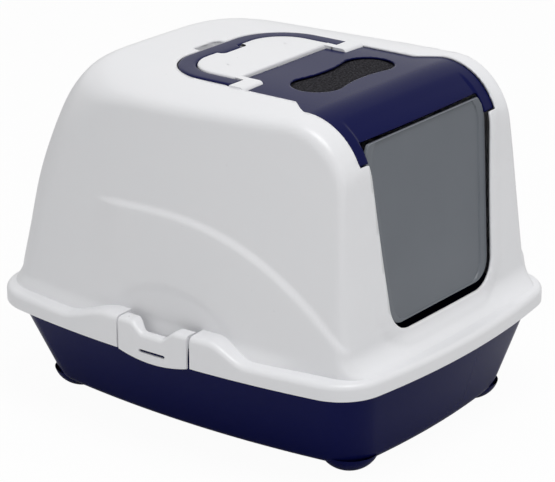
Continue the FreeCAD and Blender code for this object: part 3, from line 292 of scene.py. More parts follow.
def through(values, z):
    """Natural cubic spline through the wall stations."""
    step = np.diff(HEIGHTS)
    rise = np.diff(values) / step
    table = np.eye(len(HEIGHTS))
    bend = np.zeros(len(HEIGHTS))
    for i in range(1, len(step)):
        table[i, i - 1:i + 2] = step[i - 1], 2.0 * (step[i - 1] + step[i]), step[i]
        bend[i] = 6.0 * (rise[i] - rise[i - 1])
    bend = np.linalg.solve(table, bend)
    z = np.clip(z, HEIGHTS[0], HEIGHTS[-1])
    k = np.clip(np.searchsorted(HEIGHTS, z) - 1, 0, len(step) - 1)
    a = (HEIGHTS[k + 1] - z) / step[k]
    b = 1.0 - a
    sag = ((a ** 3 - a) * bend[k] + (b ** 3 - b) * bend[k + 1]) * step[k] ** 2 / 6.0
    return a * values[k] + b * values[k + 1] + sag


def even(x, near, far):
    """Even quartic in x with given values at the near and the far place."""
    ratio = (FAR_X / NEAR_X) ** 2
    b = (far - near * ratio) / (FAR_X ** 4 - ratio * NEAR_X ** 4)
    a = (near - b * NEAR_X ** 4) / NEAR_X ** 2
    return a * x * x + b * x ** 4


CREASE = np.polyfit(np.array(CREASE_ALONG) / 100.0, CREASE_UP, 5)


def side_swell(y, z):
    """How far the side stands out: a haunch below the crease, less a shallow round hollow over the latch."""
    below = np.polyval(CREASE, np.clip(y, -225.0, CREASE_ALONG[-1]) / 100.0) - z
    haunch = smooth(-1.5, 4.5, below) * (1.0 - smooth(8.0, HAUNCH_FADE, below))
    fade = 1.0 - smooth(*HAUNCH_END, y)
    hollow = np.hypot((y - LATCH_Y + HOLLOW_BACK) / HOLLOW_LONG, (z - CHEEK_TOP + HOLLOW_DROP) / HOLLOW_HIGH)
    return HAUNCH * haunch * fade - HOLLOW * (1.0 - smooth(0.8, 1.0, hollow))


def door_half(z):
    """Half width of the doorway at a height."""
    slope = (DOOR_TOP_HALF - DOOR_BOTTOM_HALF) / (ARM_BOTTOM - DOOR_BOTTOM)
    return DOOR_BOTTOM_HALF + slope * (z - DOOR_BOTTOM)


def door_field(x, z):
    """Distance to the doorway's outline in front view, rounded at its lower corners."""
    return round_both(np.abs(x) - door_half(z), DOOR_BOTTOM - z, DOOR_CORNER)


def hood_field(p, detail=1.0):
    """Distance to the hood's outer form: leaning bowed walls, cut by a roof, a brow and a leaning face."""
    x, y, z = p[..., 0], p[..., 1], p[..., 2]
    half, rear, front = through(HALVES, z), through(REARS, z), through(FRONTS, z)
    fore = y < 0
    bow = np.where(fore, FACE_BOW, REAR_BOW)
    side_x, end_y = np.abs(x) - half + SIDE_BOW, y - np.where(fore, FACE_BOW - front, rear - REAR_BOW)
    side_far, end_far = np.hypot(side_x, y), np.hypot(x, end_y)
    lean = np.clip((side_x * np.abs(x) + y * end_y) / (side_far * end_far), -0.9, 0.9)
    low_share = 1.0 - smooth(RIM_TOP + FOOT_FLARE_LOW, RIM_TOP + FOOT_FLARE_HIGH, z)
    skirt = FOOT_FLARE * low_share * smooth(FLARE_FRONT, FLARE_SIDE, y)
    walls = round_corner(side_far - SIDE_BOW - detail * side_swell(y, z) - skirt, end_far - bow - skirt,
                         np.where(fore, through(FRONT_CORNERS, z), through(REAR_CORNERS, z)), lean)
    shift = x * x / (2.0 * FACE_BOW)
    drop, rear_drop = even(x, ROOF_DROP, ROOF_DROP_FRONT), even(x, ROOF_DROP, ROOF_DROP_REAR)
    yc = BROW_RADIUS - BROW_REACH + shift
    zc = ROOF - BROW_RADIUS - drop
    roof = z - (ROOF - drop - (rear_drop - drop) * (y - yc) / (ROOF_END - yc))
    top, foot = yc - BROW_RADIUS, shift - FACE_FOOT
    line = foot + (z - FACE_BOTTOM) * (top - foot) / (zc - FACE_BOTTOM)
    low = np.clip(FACE_BOTTOM - z, 0.0, FLARE)
    flare = foot - FLARE + np.sqrt(np.maximum(FLARE * FLARE - low * low, 0.0))
    edging = 1.0 - smooth(SURROUND_WIDE, SURROUND_WIDE + SURROUND_SOFT, door_field(x, z))
    surround = SURROUND * edging * detail
    face = np.where(z > FACE_BOTTOM, line, flare) - surround - y
    profile = round_both(roof, face, BROW_RADIUS)
    edge = EDGE_FRONT + (EDGE_REAR - EDGE_FRONT) * smooth(40.0, 140.0, y)
    return round_both(walls, profile, edge)


def slope(field, p, h=0.05):
    """Gradient of a field by central differences."""
    parts = []
    for i in range(3):
        d = np.zeros(3)
        d[i] = h
        parts.append((field(p + d) - field(p - d)) / (2.0 * h))
    return np.stack(parts, axis=-1)


def settle(p, field, level=0.0, rounds=6):
    """Walks points along the gradient onto a level of a field."""
    for _ in range(rounds):
        g = slope(field, p)
        p = p - ((field(p) - level) / np.maximum((g * g).sum(-1), 0.05))[..., None] * g
    return p


def cast(start, way, field, level=0.0, reach=420.0):
    """First crossing of a level along straight rays, by halving the interval."""
    near = np.zeros(start.shape[:-1])
    far = np.full(start.shape[:-1], reach)
    for _ in range(34):
        middle = 0.5 * (near + far)
        inside = field(start + way * middle[..., None]) < level
        near = np.where(inside, middle, near)
        far = np.where(inside, far, middle)
    return start + way * near[..., None]


def outline(half, front, rear, bows, front_corner, rear_corner, t):
    """Bowed rectangle: four long arcs and four tangent corner arcs, each an eighth of t."""
    side_bow, front_bow, rear_bow = bows

    def corner(radius, end_y, end_bow, sy):
        a = np.array([half - side_bow, 0.0])
        b = np.array([0.0, end_y])
        r1, r2 = side_bow - radius, end_bow - radius
        span = b - a
        length = np.hypot(*span)
        along = (r1 * r1 - r2 * r2 + length * length) / (2.0 * length)
        across = math.sqrt(r1 * r1 - along * along)
        unit = span / length
        foot = a + unit * along
        turn = np.array([-unit[1], unit[0]])
        return max((foot + turn * across, foot - turn * across), key=lambda q: q[0] + sy * q[1])

    rear_c = corner(rear_corner, rear - rear_bow, rear_bow, 1.0)
    front_c = corner(front_corner, front_bow - front, front_bow, -1.0)
    up = math.atan2(rear_c[1], rear_c[0] - half + side_bow)
    down = math.atan2(front_c[1], front_c[0] - half + side_bow)
    back = math.atan2(rear_c[1] - rear + rear_bow, rear_c[0])
    fore = math.atan2(front_c[1] - front_bow + front, front_c[0])
    right = np.array([half - side_bow, 0.0])
    arcs = (
        (right, side_bow, down, up),
        (rear_c, rear_corner, up, back),
        (np.array([0.0, rear - rear_bow]), rear_bow, back, math.pi - back),
        (rear_c * [-1, 1], rear_corner, math.pi - back, math.pi - up),
        (-right, side_bow, math.pi - up, math.pi - down),
        (front_c * [-1, 1], front_corner, math.pi - down, math.pi - fore),
        (np.array([0.0, front_bow - front]), front_bow, -math.pi - fore, fore),
        (front_c, front_corner, fore, down),
    )
    which = np.minimum((t * 8).astype(int), 7)
    part = t * 8 - which
    spot, way = np.zeros((len(t), 2)), np.zeros((len(t), 2))
    for i, (centre, radius, start, end) in enumerate(arcs):
        angle = start + (end - start) * part[which == i]
        way[which == i] = np.stack([np.cos(angle), np.sin(angle)], axis=-1)
        spot[which == i] = centre + radius * way[which == i]
    return spot, way


def around(counts):
    """Parameter values for an outline, with a count for each of its eight arcs."""
    return np.concatenate([(i + np.arange(n) / n) / 8.0 for i, n in enumerate(counts)])


def lid_half(y):
    """Half width of the lid from above."""
    return np.interp(y, [-JOG_END, -JOG_START], [ARM_OUTER, LID_HALF])


def bail_field(x, y, grow):
    """Distance to the handle's outline from above, round at its rear corners."""
    return round_both(np.abs(x) - HANDLE_HALF - grow, y - HANDLE_REAR - grow, HANDLE_CORNER + grow)


def opening_field(p):
    """Distance to the hood's opening: doorway, lid and handle trough in one."""
    x, y, z = p[..., 0], p[..., 1], p[..., 2]
    door = np.maximum(door_field(x, z), np.maximum(y - INSIDE_Y, z - DOOR_HEAD))
    lid = np.maximum(np.maximum(np.abs(x) - lid_half(y) - LID_GAP, ARM_BOTTOM - LID_GAP - z), y - LID_CUT_REAR)
    trough = np.maximum(bail_field(x, y, TROUGH_GAP), np.maximum(TROUGH_FRONT - y, CUT_FLOOR - z))
    well = np.maximum(well_hole(p), CUT_FLOOR - z)
    return np.minimum(np.minimum(door, lid), np.minimum(trough, well))


def meet(p, hole, form):
    """Walks points onto the line where a hole's edge meets a form."""
    for _ in range(5):
        p = settle(settle(p, hole, rounds=1), form, rounds=2)
    return p


def clipped(p, wrap, hole, form):
    """Grid whose quads are cut along the zero line of a hole's field; what lies inside the hole is left out."""
    if wrap:
        p = np.concatenate([p, p[:, :1]], axis=1)
    rows, cols = p.shape[:2]
    flat, d = p.reshape(-1, 3), hole(p).reshape(-1)
    index = np.arange(rows * cols).reshape(rows, cols)
    points = [flat]

    def crossing(a, b):
        ids = np.full(a.shape, -1)
        cross = (d[a] > 0) != (d[b] > 0)
        one, two = a[cross], b[cross]
        share = (d[one] / (d[one] - d[two]))[:, None]
        ids[cross] = sum(len(q) for q in points) + np.arange(cross.sum())
        points.append(meet(flat[one] + share * (flat[two] - flat[one]), hole, form))
        return ids

    across = crossing(index[:, :-1], index[:, 1:])
    along = crossing(index[:-1], index[1:])
    corner = np.where(d > 0, np.arange(rows * cols), -1).reshape(rows, cols)
    slots = np.stack([corner[:-1, :-1], across[:-1], corner[:-1, 1:], along[:, 1:],
                      corner[1:, 1:], across[1:], corner[1:, :-1], along[:, :-1]], axis=-1).reshape(-1, 8)
    whole = (slots[:, ::2] >= 0).all(1)
    part = ~whole & ((slots >= 0).sum(1) > 2)
    faces = slots[whole][:, ::2].tolist() + [row[row >= 0].tolist() for row in slots[part]]
    return np.concatenate(points), faces


def hood_dome():
    """Rays from the middle of the hood: level ones up the walls, then tilting ones up to the roof's pole."""
    t = around((96, 30, 36, 30, 96, 16, 44, 16))
    spot, _ = outline(RAY_HALF, RAY_FRONT, RAY_REAR, (SIDE_BOW, FACE_BOW, REAR_BOW), RAY_FRONT_CORNER,
                      RAY_REAR_CORNER, t)
    level = np.linspace(RIM_TOP - HOOD_FOOT, RAY_TURN, RAY_LEVELS)[:-1]
    heights = np.concatenate([level, np.full(RAY_TILTS, RAY_TURN)])
    tilt = np.concatenate([0.0 * level, np.linspace(0.0, math.pi / 2.0, RAY_TILTS)])
    aim = spot - [0.0, RAY_Y]
    aim = aim / np.linalg.norm(aim, axis=-1, keepdims=True)
    flat = np.cos(tilt)[:, None]
    way = np.stack(np.broadcast_arrays(aim[:, 0] * flat, aim[:, 1] * flat, np.sin(tilt)[:, None]), axis=-1)
    start = np.zeros(way.shape)
    start[..., 1] = RAY_Y
    start[..., 2] = heights[:, None]
    return clipped(cast(start, way, hood_field), True, opening_field, hood_field)


def cheek_rise(x, y):
    """Rise of the rim beside the latches: a flat crest with soft runs down."""
    along = y - LATCH_Y
    run = np.where(along > 0.0, smooth(*CHEEK_REAR, along), smooth(*CHEEK_FRONT, -along))
    return (CHEEK_TOP - RIM_TOP) * (1.0 - run) * (np.abs(x) > RIM_SIDE)


def rim_band():
    """Profile of the skirt carried round its outline: outer wall, round top edge, shelf and underside."""
    t = around((176, 28, 40, 28, 176, 28, 40, 28))
    spot, way = outline(RIM_HALF, RIM_LONG, RIM_LONG, BOWS, RIM_FRONT_CORNER, RIM_REAR_CORNER, t)
    notch = (np.abs(spot[:, 1] - LATCH_Y) < LATCH_HALF + NOTCH_GAP) & (np.abs(spot[:, 0]) > RIM_SIDE)
    rise = np.where(notch, NOTCH_FLOOR - RIM_TOP, cheek_rise(spot[:, 0], spot[:, 1]))
    top, none = RIM_TOP + rise, 0.0 * rise
    start = np.concatenate([spot - 40.0 * way, top[:, None]], axis=-1)
    wall = cast(start, np.concatenate([way, np.zeros((len(t), 1))], axis=-1), hood_field, reach=60.0)
    shelf = np.linalg.norm(wall[:, :2] - spot, axis=-1) + 1.5
    turn = np.linspace(0.0, math.pi / 2.0, 8)
    low = none + SKIRT_BOTTOM
    rows = [(none + WALL + 0.4, low + 0.2), (none + WALL - 0.4, low), (none + 0.6, low), (none, low + 0.6)]
    rows += [(none, low + (top - RIM_ROUND - low) * k) for k in (0.3, 0.6, 0.9)]
    rows += [(RIM_ROUND * (1.0 - math.cos(a)) + none, top - RIM_ROUND * (1.0 - math.sin(a))) for a in turn]
    rows += [(RIM_ROUND + (shelf - RIM_ROUND) * k, top + 0.6 * k) for k in (0.3, 0.65, 1.0)]
    rows += [(shelf, top - WALL), (none + 8.0, top - WALL), (none + WALL, top - WALL - 4.0), rows[0]]
    grid = []
    for inset, z in rows:
        inset = np.where(notch, np.maximum(inset, NOTCH_INSET), inset)
        grid.append(np.concatenate([spot - way * inset[:, None], z[:, None]], axis=-1))
    return sheet_of(np.stack(grid), True)


def bail_curve(half, rear, front, corner, count=24):
    """Rounded U seen from above, closed across the front."""
    corner = max(corner, 0.5)
    turn = np.linspace(0.0, math.pi / 2.0, count)
    arc = np.stack([half - corner + corner * np.cos(turn), rear - corner + corner * np.sin(turn)], axis=-1)
    foot = np.stack([np.full(8, half), np.linspace(front, rear - corner, 9)[:-1]], axis=-1)
    back = np.stack([np.linspace(half - corner, 0.0, 24)[1:], np.full(23, rear)], axis=-1)
    right = np.concatenate([foot, arc, back])
    return np.concatenate([right, right[::-1][1:] * [-1, 1]])


def stacked(curves):
    """Rows of closed curves, each with its height, as a grid."""
    rows = []
    for curve, z in curves:
        rows.append(np.concatenate([curve, np.full((len(curve), 1), z)], axis=-1))
    return np.stack(rows)


def well_hole(p):
    """Distance to the finger well's outline from above."""
    middle, deep = 0.5 * (WELL_FRONT + WELL_BACK), 0.5 * (WELL_BACK - WELL_FRONT)
    return round_both(np.abs(p[..., 0]) - WELL_HALF, np.abs(p[..., 1] - middle) - deep, WELL_CORNER)


def tile_curve(half, deep, corner, middle, inset):
    """Rounded rectangle from above, moved in by an inset."""
    r = max(corner - inset, 0.3)
    turn = np.linspace(0.0, math.pi / 2.0, 7)
    x, y = half - inset - r, deep - inset - r
    quarter = np.stack([x + r * np.cos(turn), y + r * np.sin(turn)], axis=-1)
    side = np.stack([np.full(8, x + r), np.linspace(-y, y, 10)[1:-1]], axis=-1)
    right = np.concatenate([(quarter * [1, -1])[::-1], side, quarter])
    head = np.stack([np.linspace(x, -x, 26)[1:-1], np.full(24, y + r)], axis=-1)
    return np.concatenate([right, head, (right * [-1, 1])[::-1], head[::-1] * [1, -1]]) + [0.0, middle]


def well_curve(inset):
    """Outline of the finger well, moved in by an inset."""
    middle, deep = 0.5 * (WELL_FRONT + WELL_BACK), 0.5 * (WELL_BACK - WELL_FRONT)
    return tile_curve(WELL_HALF, deep, WELL_CORNER, middle, inset)


def level_of(p):
    """Field that leaves a point where it is."""
    return 0.0 * p[..., 2]


def hood_deck():
    """Trough for the handle and the raised pad inside it, as nested U curves that step down and up."""
    g = TROUGH_GAP
    rim = bail_curve(HANDLE_HALF + g, HANDLE_REAR + g, TROUGH_FRONT - 1.0, HANDLE_CORNER + g)
    wall = [(rim, z) for z in (ROOF - 3.0, TROUGH_FLOOR)]
    inner = HANDLE_HALF - HANDLE_BAR - g
    rear = HANDLE_REAR - HANDLE_BAR - g
    corner = HANDLE_CORNER - HANDLE_BAR - g
    island = []
    for inset, z in ((0.0, TROUGH_FLOOR), (0.0, PAD_TOP - 2.5), (0.4, PAD_TOP - 1.2), (1.2, PAD_TOP - 0.35),
                     (2.6, PAD_TOP), (14.0, PAD_TOP), (30.0, PAD_TOP)):
        island.append((bail_curve(inner - inset, rear - inset, PAD_FRONT + inset, corner - inset), z))
    close = bail_curve(inner - 30.0, rear - 30.0, PAD_FRONT + 30.0, corner - 30.0)
    island.append((close * [1.0, 0.0] + [0.0, 0.5 * (close[:, 1].min() + close[:, 1].max())], PAD_TOP))
    floor = wall[-1:] + island[:1]
    steps = ((0.0, 366.2), (0.0, WELL_FLOOR + 2.0), (0.6, WELL_FLOOR + 0.6), (2.0, WELL_FLOOR), (8.0, WELL_FLOOR))
    well = [(well_curve(inset), z) for inset, z in steps]
    well.append((well_curve(8.0) * [0.0, 1.0], WELL_FLOOR))
    return [clipped(stacked(rows), True, well_hole, level_of) for rows in (wall, floor, island)] + [
        sheet_of(stacked(well), True)]


def carried(section, x, side):
    """Closed section, drawn as y and z, carried straight across from the first to the last x and capped."""
    rows = [np.concatenate([np.full((len(section), 1), k * side), section], axis=-1) for k in x]
    p, faces = sheet_of(np.stack(rows)[:, ::-side], True)
    n = len(section)
    return p, faces + [list(range(n)), list(range(len(p) - 1, len(p) - 1 - n, -1))]


def knuckle(side):
    """White hinge block beside the lid's tongue, with a round front edge."""
    turn = np.linspace(math.pi / 2.0, math.pi, 9)
    nose = np.stack([HINGE_FRONT + HINGE_ROUND * (1.0 + np.cos(turn)),
                     HINGE_TOP - HINGE_ROUND * (1.0 - np.sin(turn))], axis=-1)
    back = [[HINGE_BACK, HINGE_LOW], [HINGE_BACK, HINGE_TOP - 0.8], [HINGE_BACK - 0.8, HINGE_TOP]]
    section = np.concatenate([back, nose, [[HINGE_FRONT, HINGE_LOW]]])
    return carried(section, np.linspace(TONGUE_HALF + LID_GAP, LID_HALF + 1.5, 6), side)


def bridge(side):
    """White block that joins a hinge block to the pad behind it."""
    back, front = PAD_FRONT + 2.0, HINGE_BACK - 2.0
    section = np.array([[back, HINGE_LOW], [back, PAD_TOP - 0.3], [front, HINGE_TOP], [front, HINGE_LOW]])
    return carried(section, np.linspace(TONGUE_HALF + LID_GAP, HANDLE_HALF - HANDLE_BAR - TROUGH_GAP, 3), side)


shell = piece("hood_shell", [hood_dome()], "cover", ["hood"], WHITE)
thicken(shell, WALL)
piece("hood_rim", [rim_band()], "cover", ["hood"], WHITE)
piece("hood_deck", hood_deck(), "cover", ["hood"], WHITE)
piece("hood_knuckles", [knuckle(1), knuckle(-1), bridge(1), bridge(-1)], "cover", ["hood"],
      WHITE)


def pan_body():
    """Bowed outlines stacked from the floor's middle up the rolled edge and wall, over the lip and down inside."""
    t = around((40, 22, 36, 22, 40, 22, 36, 22))
    lean = math.radians(PAN_LEAN)
    rows = []

    def ring(half, front, rear, corner, z, shrink=1.0):
        spot, _ = outline(half, front, rear, BOWS, corner, corner, t)
        rows.append(np.concatenate([spot * shrink, np.full((len(t), 1), z)], axis=-1))

    def tub(inset, floor, mouth):
        local = []
        roll = PAN_ROLL - inset
        edge = inset + roll
        for shrink in (0.0, 0.5, 0.93):
            local.append((PAN_HALF - edge, PAN_FRONT - edge, PAN_REAR - edge, PAN_FLOOR_CORNER, floor, shrink))
        for turn in np.linspace(0.0, math.pi / 2.0 - lean, 7):
            tuck = roll * (math.cos(lean) - math.sin(turn)) + inset
            local.append((PAN_HALF - tuck, PAN_FRONT - tuck, PAN_REAR - tuck, PAN_CORNER - tuck,
                          floor + roll * (1 - math.cos(turn)), 1.0))
        foot = floor + roll * (1 - math.sin(lean))
        for k in np.linspace(0.0, 1.0, 14)[1:]:
            local.append((PAN_HALF + SPREAD_SIDE * k - inset, PAN_FRONT + SPREAD_FRONT * k - inset,
                          PAN_REAR + SPREAD_REAR * k - inset, PAN_CORNER + SPREAD_CORNER * k - inset,
                          foot + (mouth - foot) * k, 1.0))
        return local

    for values in tub(0.0, PAN_FLOOR, PAN_TOP - WALL):
        ring(*values)

    def lip(inset, z):
        spot, _ = outline(RIM_HALF - inset, RIM_LONG - inset, RIM_LONG - inset, tuple(b - inset for b in BOWS),
                          RIM_FRONT_CORNER - inset, RIM_REAR_CORNER - inset, t)
        rows.append(np.concatenate([spot, np.full((len(t), 1), z)], axis=-1))

    for inset, z in ((WALL, PAN_TOP - WALL), (WALL, LIP_BOTTOM), (0.0, LIP_BOTTOM),
                     (0.0, PAN_TOP - 2.5), (0.8, PAN_TOP - 0.7), (2.5, PAN_TOP)):
        lip(LIP_INSET + inset, z)
    for values in tub(WALL, PAN_FLOOR + WALL, PAN_TOP)[::-1]:
        ring(*values)
    return sheet_of(np.stack(rows), True)


def pan_foot(x, y):
    """Bulb below the floor: a ball of revolution cut flat at its sole, ending inside the floor and the wall."""
    turn = np.linspace(0.0, 2.0 * math.pi, 48, endpoint=False)
    drop = np.concatenate([[0.0], np.linspace(FOOT_START, FOOT_END, 20)])
    radius = FOOT_WIDE * np.sin(drop)
    height = np.maximum(FOOT_SINK - FOOT_TALL * np.cos(drop), 0.0)
    ring = np.stack([np.cos(turn), np.sin(turn)], axis=-1)
    flat = radius[:, None, None] * ring + np.array([x, y])
    outward = (ring * np.sign([x, y])).sum(-1) / math.sqrt(2.0)
    top = FOOT_INNER + (FOOT_OUTER - FOOT_INNER) * smooth(-0.3, 0.3, outward)
    high = np.minimum(height[:, None], top)[..., None]
    return sheet_of(np.concatenate([flat, high], axis=-1), True)


feet = [pan_foot(side * FOOT_X, y) for side in (1, -1) for y in (FOOT_FRONT, FOOT_REAR)]
piece("pan_tub", [pan_body()] + feet, "base", ["pan"], NAVY)


def lid_field(p):
    """The hood's plain form, two millimetres lower, with the brow stepped in between the arms."""
    x, y = p[..., 0], p[..., 1]
    step = (1.0 - smooth(ARM_INNER - 1.6, ARM_INNER, np.abs(x))) * (1.0 - smooth(-172.0, -158.0, y))
    return hood_field(p, 0.0) + LID_DROP + BROW_STEP * step


def window_field(x, y):
    """Distance to the window: two lobes joined by hollow sides."""
    x = np.abs(x - WINDOW_X)
    a = np.hypot(x - WINDOW_OFFSET, y - WINDOW_Y) - WINDOW_LOBE
    hollow = (WINDOW_OFFSET ** 2 + WINDOW_WAIST ** 2 - WINDOW_LOBE ** 2) / (2.0 * (WINDOW_LOBE - WINDOW_WAIST))
    far = hollow + WINDOW_WAIST
    touch = WINDOW_OFFSET * hollow / (hollow + WINDOW_LOBE)
    b = hollow - np.hypot(x, far - np.abs(y - WINDOW_Y))
    return np.where(x < touch, b, a)


def lid_hole(p):
    """Distance to what the lid leaves open: window, hinge corners and the doorway below the brow."""
    x, y, z = p[..., 0], p[..., 1], p[..., 2]
    window = np.maximum(window_field(x, y), 350.0 - z)
    beside = np.maximum(TONGUE_HALF - np.abs(x), LID_REAR - y)
    mouth = np.maximum(np.abs(x) - ARM_INNER, z - BROW_BOTTOM)
    return np.minimum(window, np.minimum(beside, mouth))


def lid_skin():
    """Lid carried from its rear edge over the brow: width follows the lid's outline, height the hood's form."""
    s = np.linspace(1.0, -1.0, 127)
    turn_y, turn_z = BROW_RADIUS - BROW_REACH, ROOF - BROW_RADIUS
    y = np.linspace(TONGUE_REAR, turn_y, 62)
    grid = np.stack(np.broadcast_arrays(lid_half(y)[:, None] * s, y[:, None], CUT_FLOOR), axis=-1)
    roof = cast(grid, np.array([0.0, 0.0, 1.0]) + 0.0 * grid, lid_field, reach=120.0)
    bend = np.linspace(0.0, math.acos((ARM_BOTTOM - turn_z) / (BROW_RADIUS - LID_DROP)), 44)[1:]
    start = np.stack(np.broadcast_arrays(ARM_OUTER * s[None, :] + 0.0 * bend[:, None], turn_y, turn_z), axis=-1)
    way = np.stack([0.0 * bend, -np.sin(bend), np.cos(bend)], axis=-1)[:, None, :] + 0.0 * start
    brow = cast(start, way, lid_field, reach=120.0)
    return clipped(np.concatenate([roof, brow]), False, lid_hole, lid_field)


lid = piece("lid_panel", [lid_skin()], "front_lid", ["lid"], NAVY)
thicken(lid, LID_WALL)


def flap_curve(side_low, side_top, low, top, r):
    """Flap outline in its own plane: leaning sides, round lower corners, narrow head, moved in on each side."""
    foot, head = DOOR_BOTTOM + FLAP_FOOT_GAP - FLAP_AXIS_Z + low, FLAP_HEAD - top
    neck = head - FLAP_NECK
    share = (DOOR_TOP_HALF - DOOR_BOTTOM_HALF) / (ARM_BOTTOM - DOOR_BOTTOM)
    lean = math.atan(share)

    def half(v):
        inset = side_low + (side_top - side_low) * (v - foot) / (neck - foot)
        return door_half(v + FLAP_AXIS_Z) - FLAP_SIDE_GAP - inset

    turn = np.linspace(-math.pi / 2.0, -lean, 16)
    lower = np.stack([half(foot + r) - r + r * np.cos(turn), foot + r + r * np.sin(turn)], axis=-1)
    v = np.linspace(foot + r, neck, 10)[1:]
    straight = np.stack([half(v), v], axis=-1)
    width = ARM_INNER - FLAP_ARM_GAP - side_top
    upper = np.array([width, head]) - FLAP_SHOULDER
    right = np.concatenate([lower, straight, upper])
    return np.concatenate([right, right[::-1] * [-1, 1]])


# Rings of the flap: inset at the foot of the sides, at their top, below and above, corner and how far out
FLAP_RINGS = (
    (40.0, 40.0, 40.0, 6.0, 10.0, -0.3), (13.5, 12.0, 2.2, 0.8, 21.0, -0.3), (12.2, 11.0, 1.6, 0.6, 22.0, 1.0),
    (11.4, 10.4, 1.2, 0.5, 22.5, 1.2), (1.0, 1.0, 0.8, 0.4, 24.4, 1.2), (0.0, 0.0, 0.0, 0.0, 25.0, 0.2),
    (0.0, 0.0, 0.0, 0.0, 25.0, -2.1), (0.5, 0.5, 0.5, 0.3, 24.6, -2.6), (9.0, 9.0, 2.2, 0.8, 22.0, -2.6),
    (13.0, 12.0, 5.0, 2.0, 20.0, -1.9), (40.0, 40.0, 40.0, 6.0, 10.0, -1.9),
)


def flap_tray():
    """Flap as nested outlines: sunk panel, bevel, flat border, round edge, and the same again behind."""
    lean = math.radians(FLAP_LEAN)
    grid = []
    for *insets, out in FLAP_RINGS:
        curve, y = flap_curve(*insets), -FLAP_FACE - out
        grid.append(np.stack([curve[:, 0], FLAP_AXIS_Y + y * math.cos(lean) + curve[:, 1] * math.sin(lean),
                              FLAP_AXIS_Z - y * math.sin(lean) + curve[:, 1] * math.cos(lean)], axis=-1))
    middle = [g * [0.0, 1.0, 1.0] for g in (grid[0], grid[-1])]
    return sheet_of(np.stack([middle[0]] + grid + [middle[1]]), True)


piece("flap_tray", [flap_tray()], "door", ["flap"], SMOKY, 25.0)


def handle_bail():
    """Rounded bar section carried along a U path, with a finger tab inside its middle."""
    half, rear, corner = (size - HANDLE_BAR / 2 for size in (HANDLE_HALF, HANDLE_REAR, HANDLE_CORNER))
    turn = np.linspace(0.0, math.pi / 2.0, 24)
    way = np.stack([np.cos(turn), np.sin(turn)], axis=-1)
    arc = [half - corner, rear - corner] + corner * way
    run = np.linspace(HANDLE_AXIS_Y - HANDLE_STUB, rear - corner, 12)[:-1]
    straight = np.stack([np.full(11, half), run], axis=-1)
    back = np.stack([np.linspace(half - corner, 0.0, 30)[1:], np.full(29, rear)], axis=-1)
    path = np.concatenate([straight, arc, back])
    out = np.concatenate([np.tile([1.0, 0.0], (11, 1)), way, np.tile([0.0, 1.0], (29, 1))])
    path = np.concatenate([path, path[::-1][1:] * [-1, 1]])
    out = np.concatenate([out, out[::-1][1:] * [-1, 1]])
    angle = np.linspace(0.0, 2.0 * math.pi, 40, endpoint=False)
    c, s = np.cos(angle), np.sin(angle)
    tab = TAB_DEEP * (1.0 - smooth(TAB_HALF, TAB_HALF + TAB_SOFT, np.abs(path[:, 0]))) * (path[:, 1] > 0.0)
    across = HANDLE_BAR / 2 * np.sign(c) * np.abs(c) ** HANDLE_SQUARE + np.minimum(c, 0.0) * tab[:, None]
    up = HANDLE_THICK / 2 * np.sign(s) * np.abs(s) ** HANDLE_SQUARE + HANDLE_TOP - HANDLE_THICK / 2
    flat = path[:, None, :] + out[:, None, :] * across[..., None]
    rows = np.concatenate([flat, np.broadcast_to(up[:, None], flat.shape[:2] + (1,))], axis=-1)
    ends = [np.broadcast_to(rows[i].mean(0), rows[i].shape) for i in (0, -1)]
    return sheet_of(np.concatenate([ends[0][None], rows, ends[1][None]]), True)


piece("handle_bail", [handle_bail()], "carry", ["handle"], NAVY_SATIN)


def slot_hole(p):
    """Distance to the latch's slot in side view."""
    past = np.maximum(np.abs(p[..., 1] - LATCH_Y) - SLOT_HALF, 0.0)
    return np.hypot(past, p[..., 2] - SLOT_Z) - SLOT_TALL / 2.0


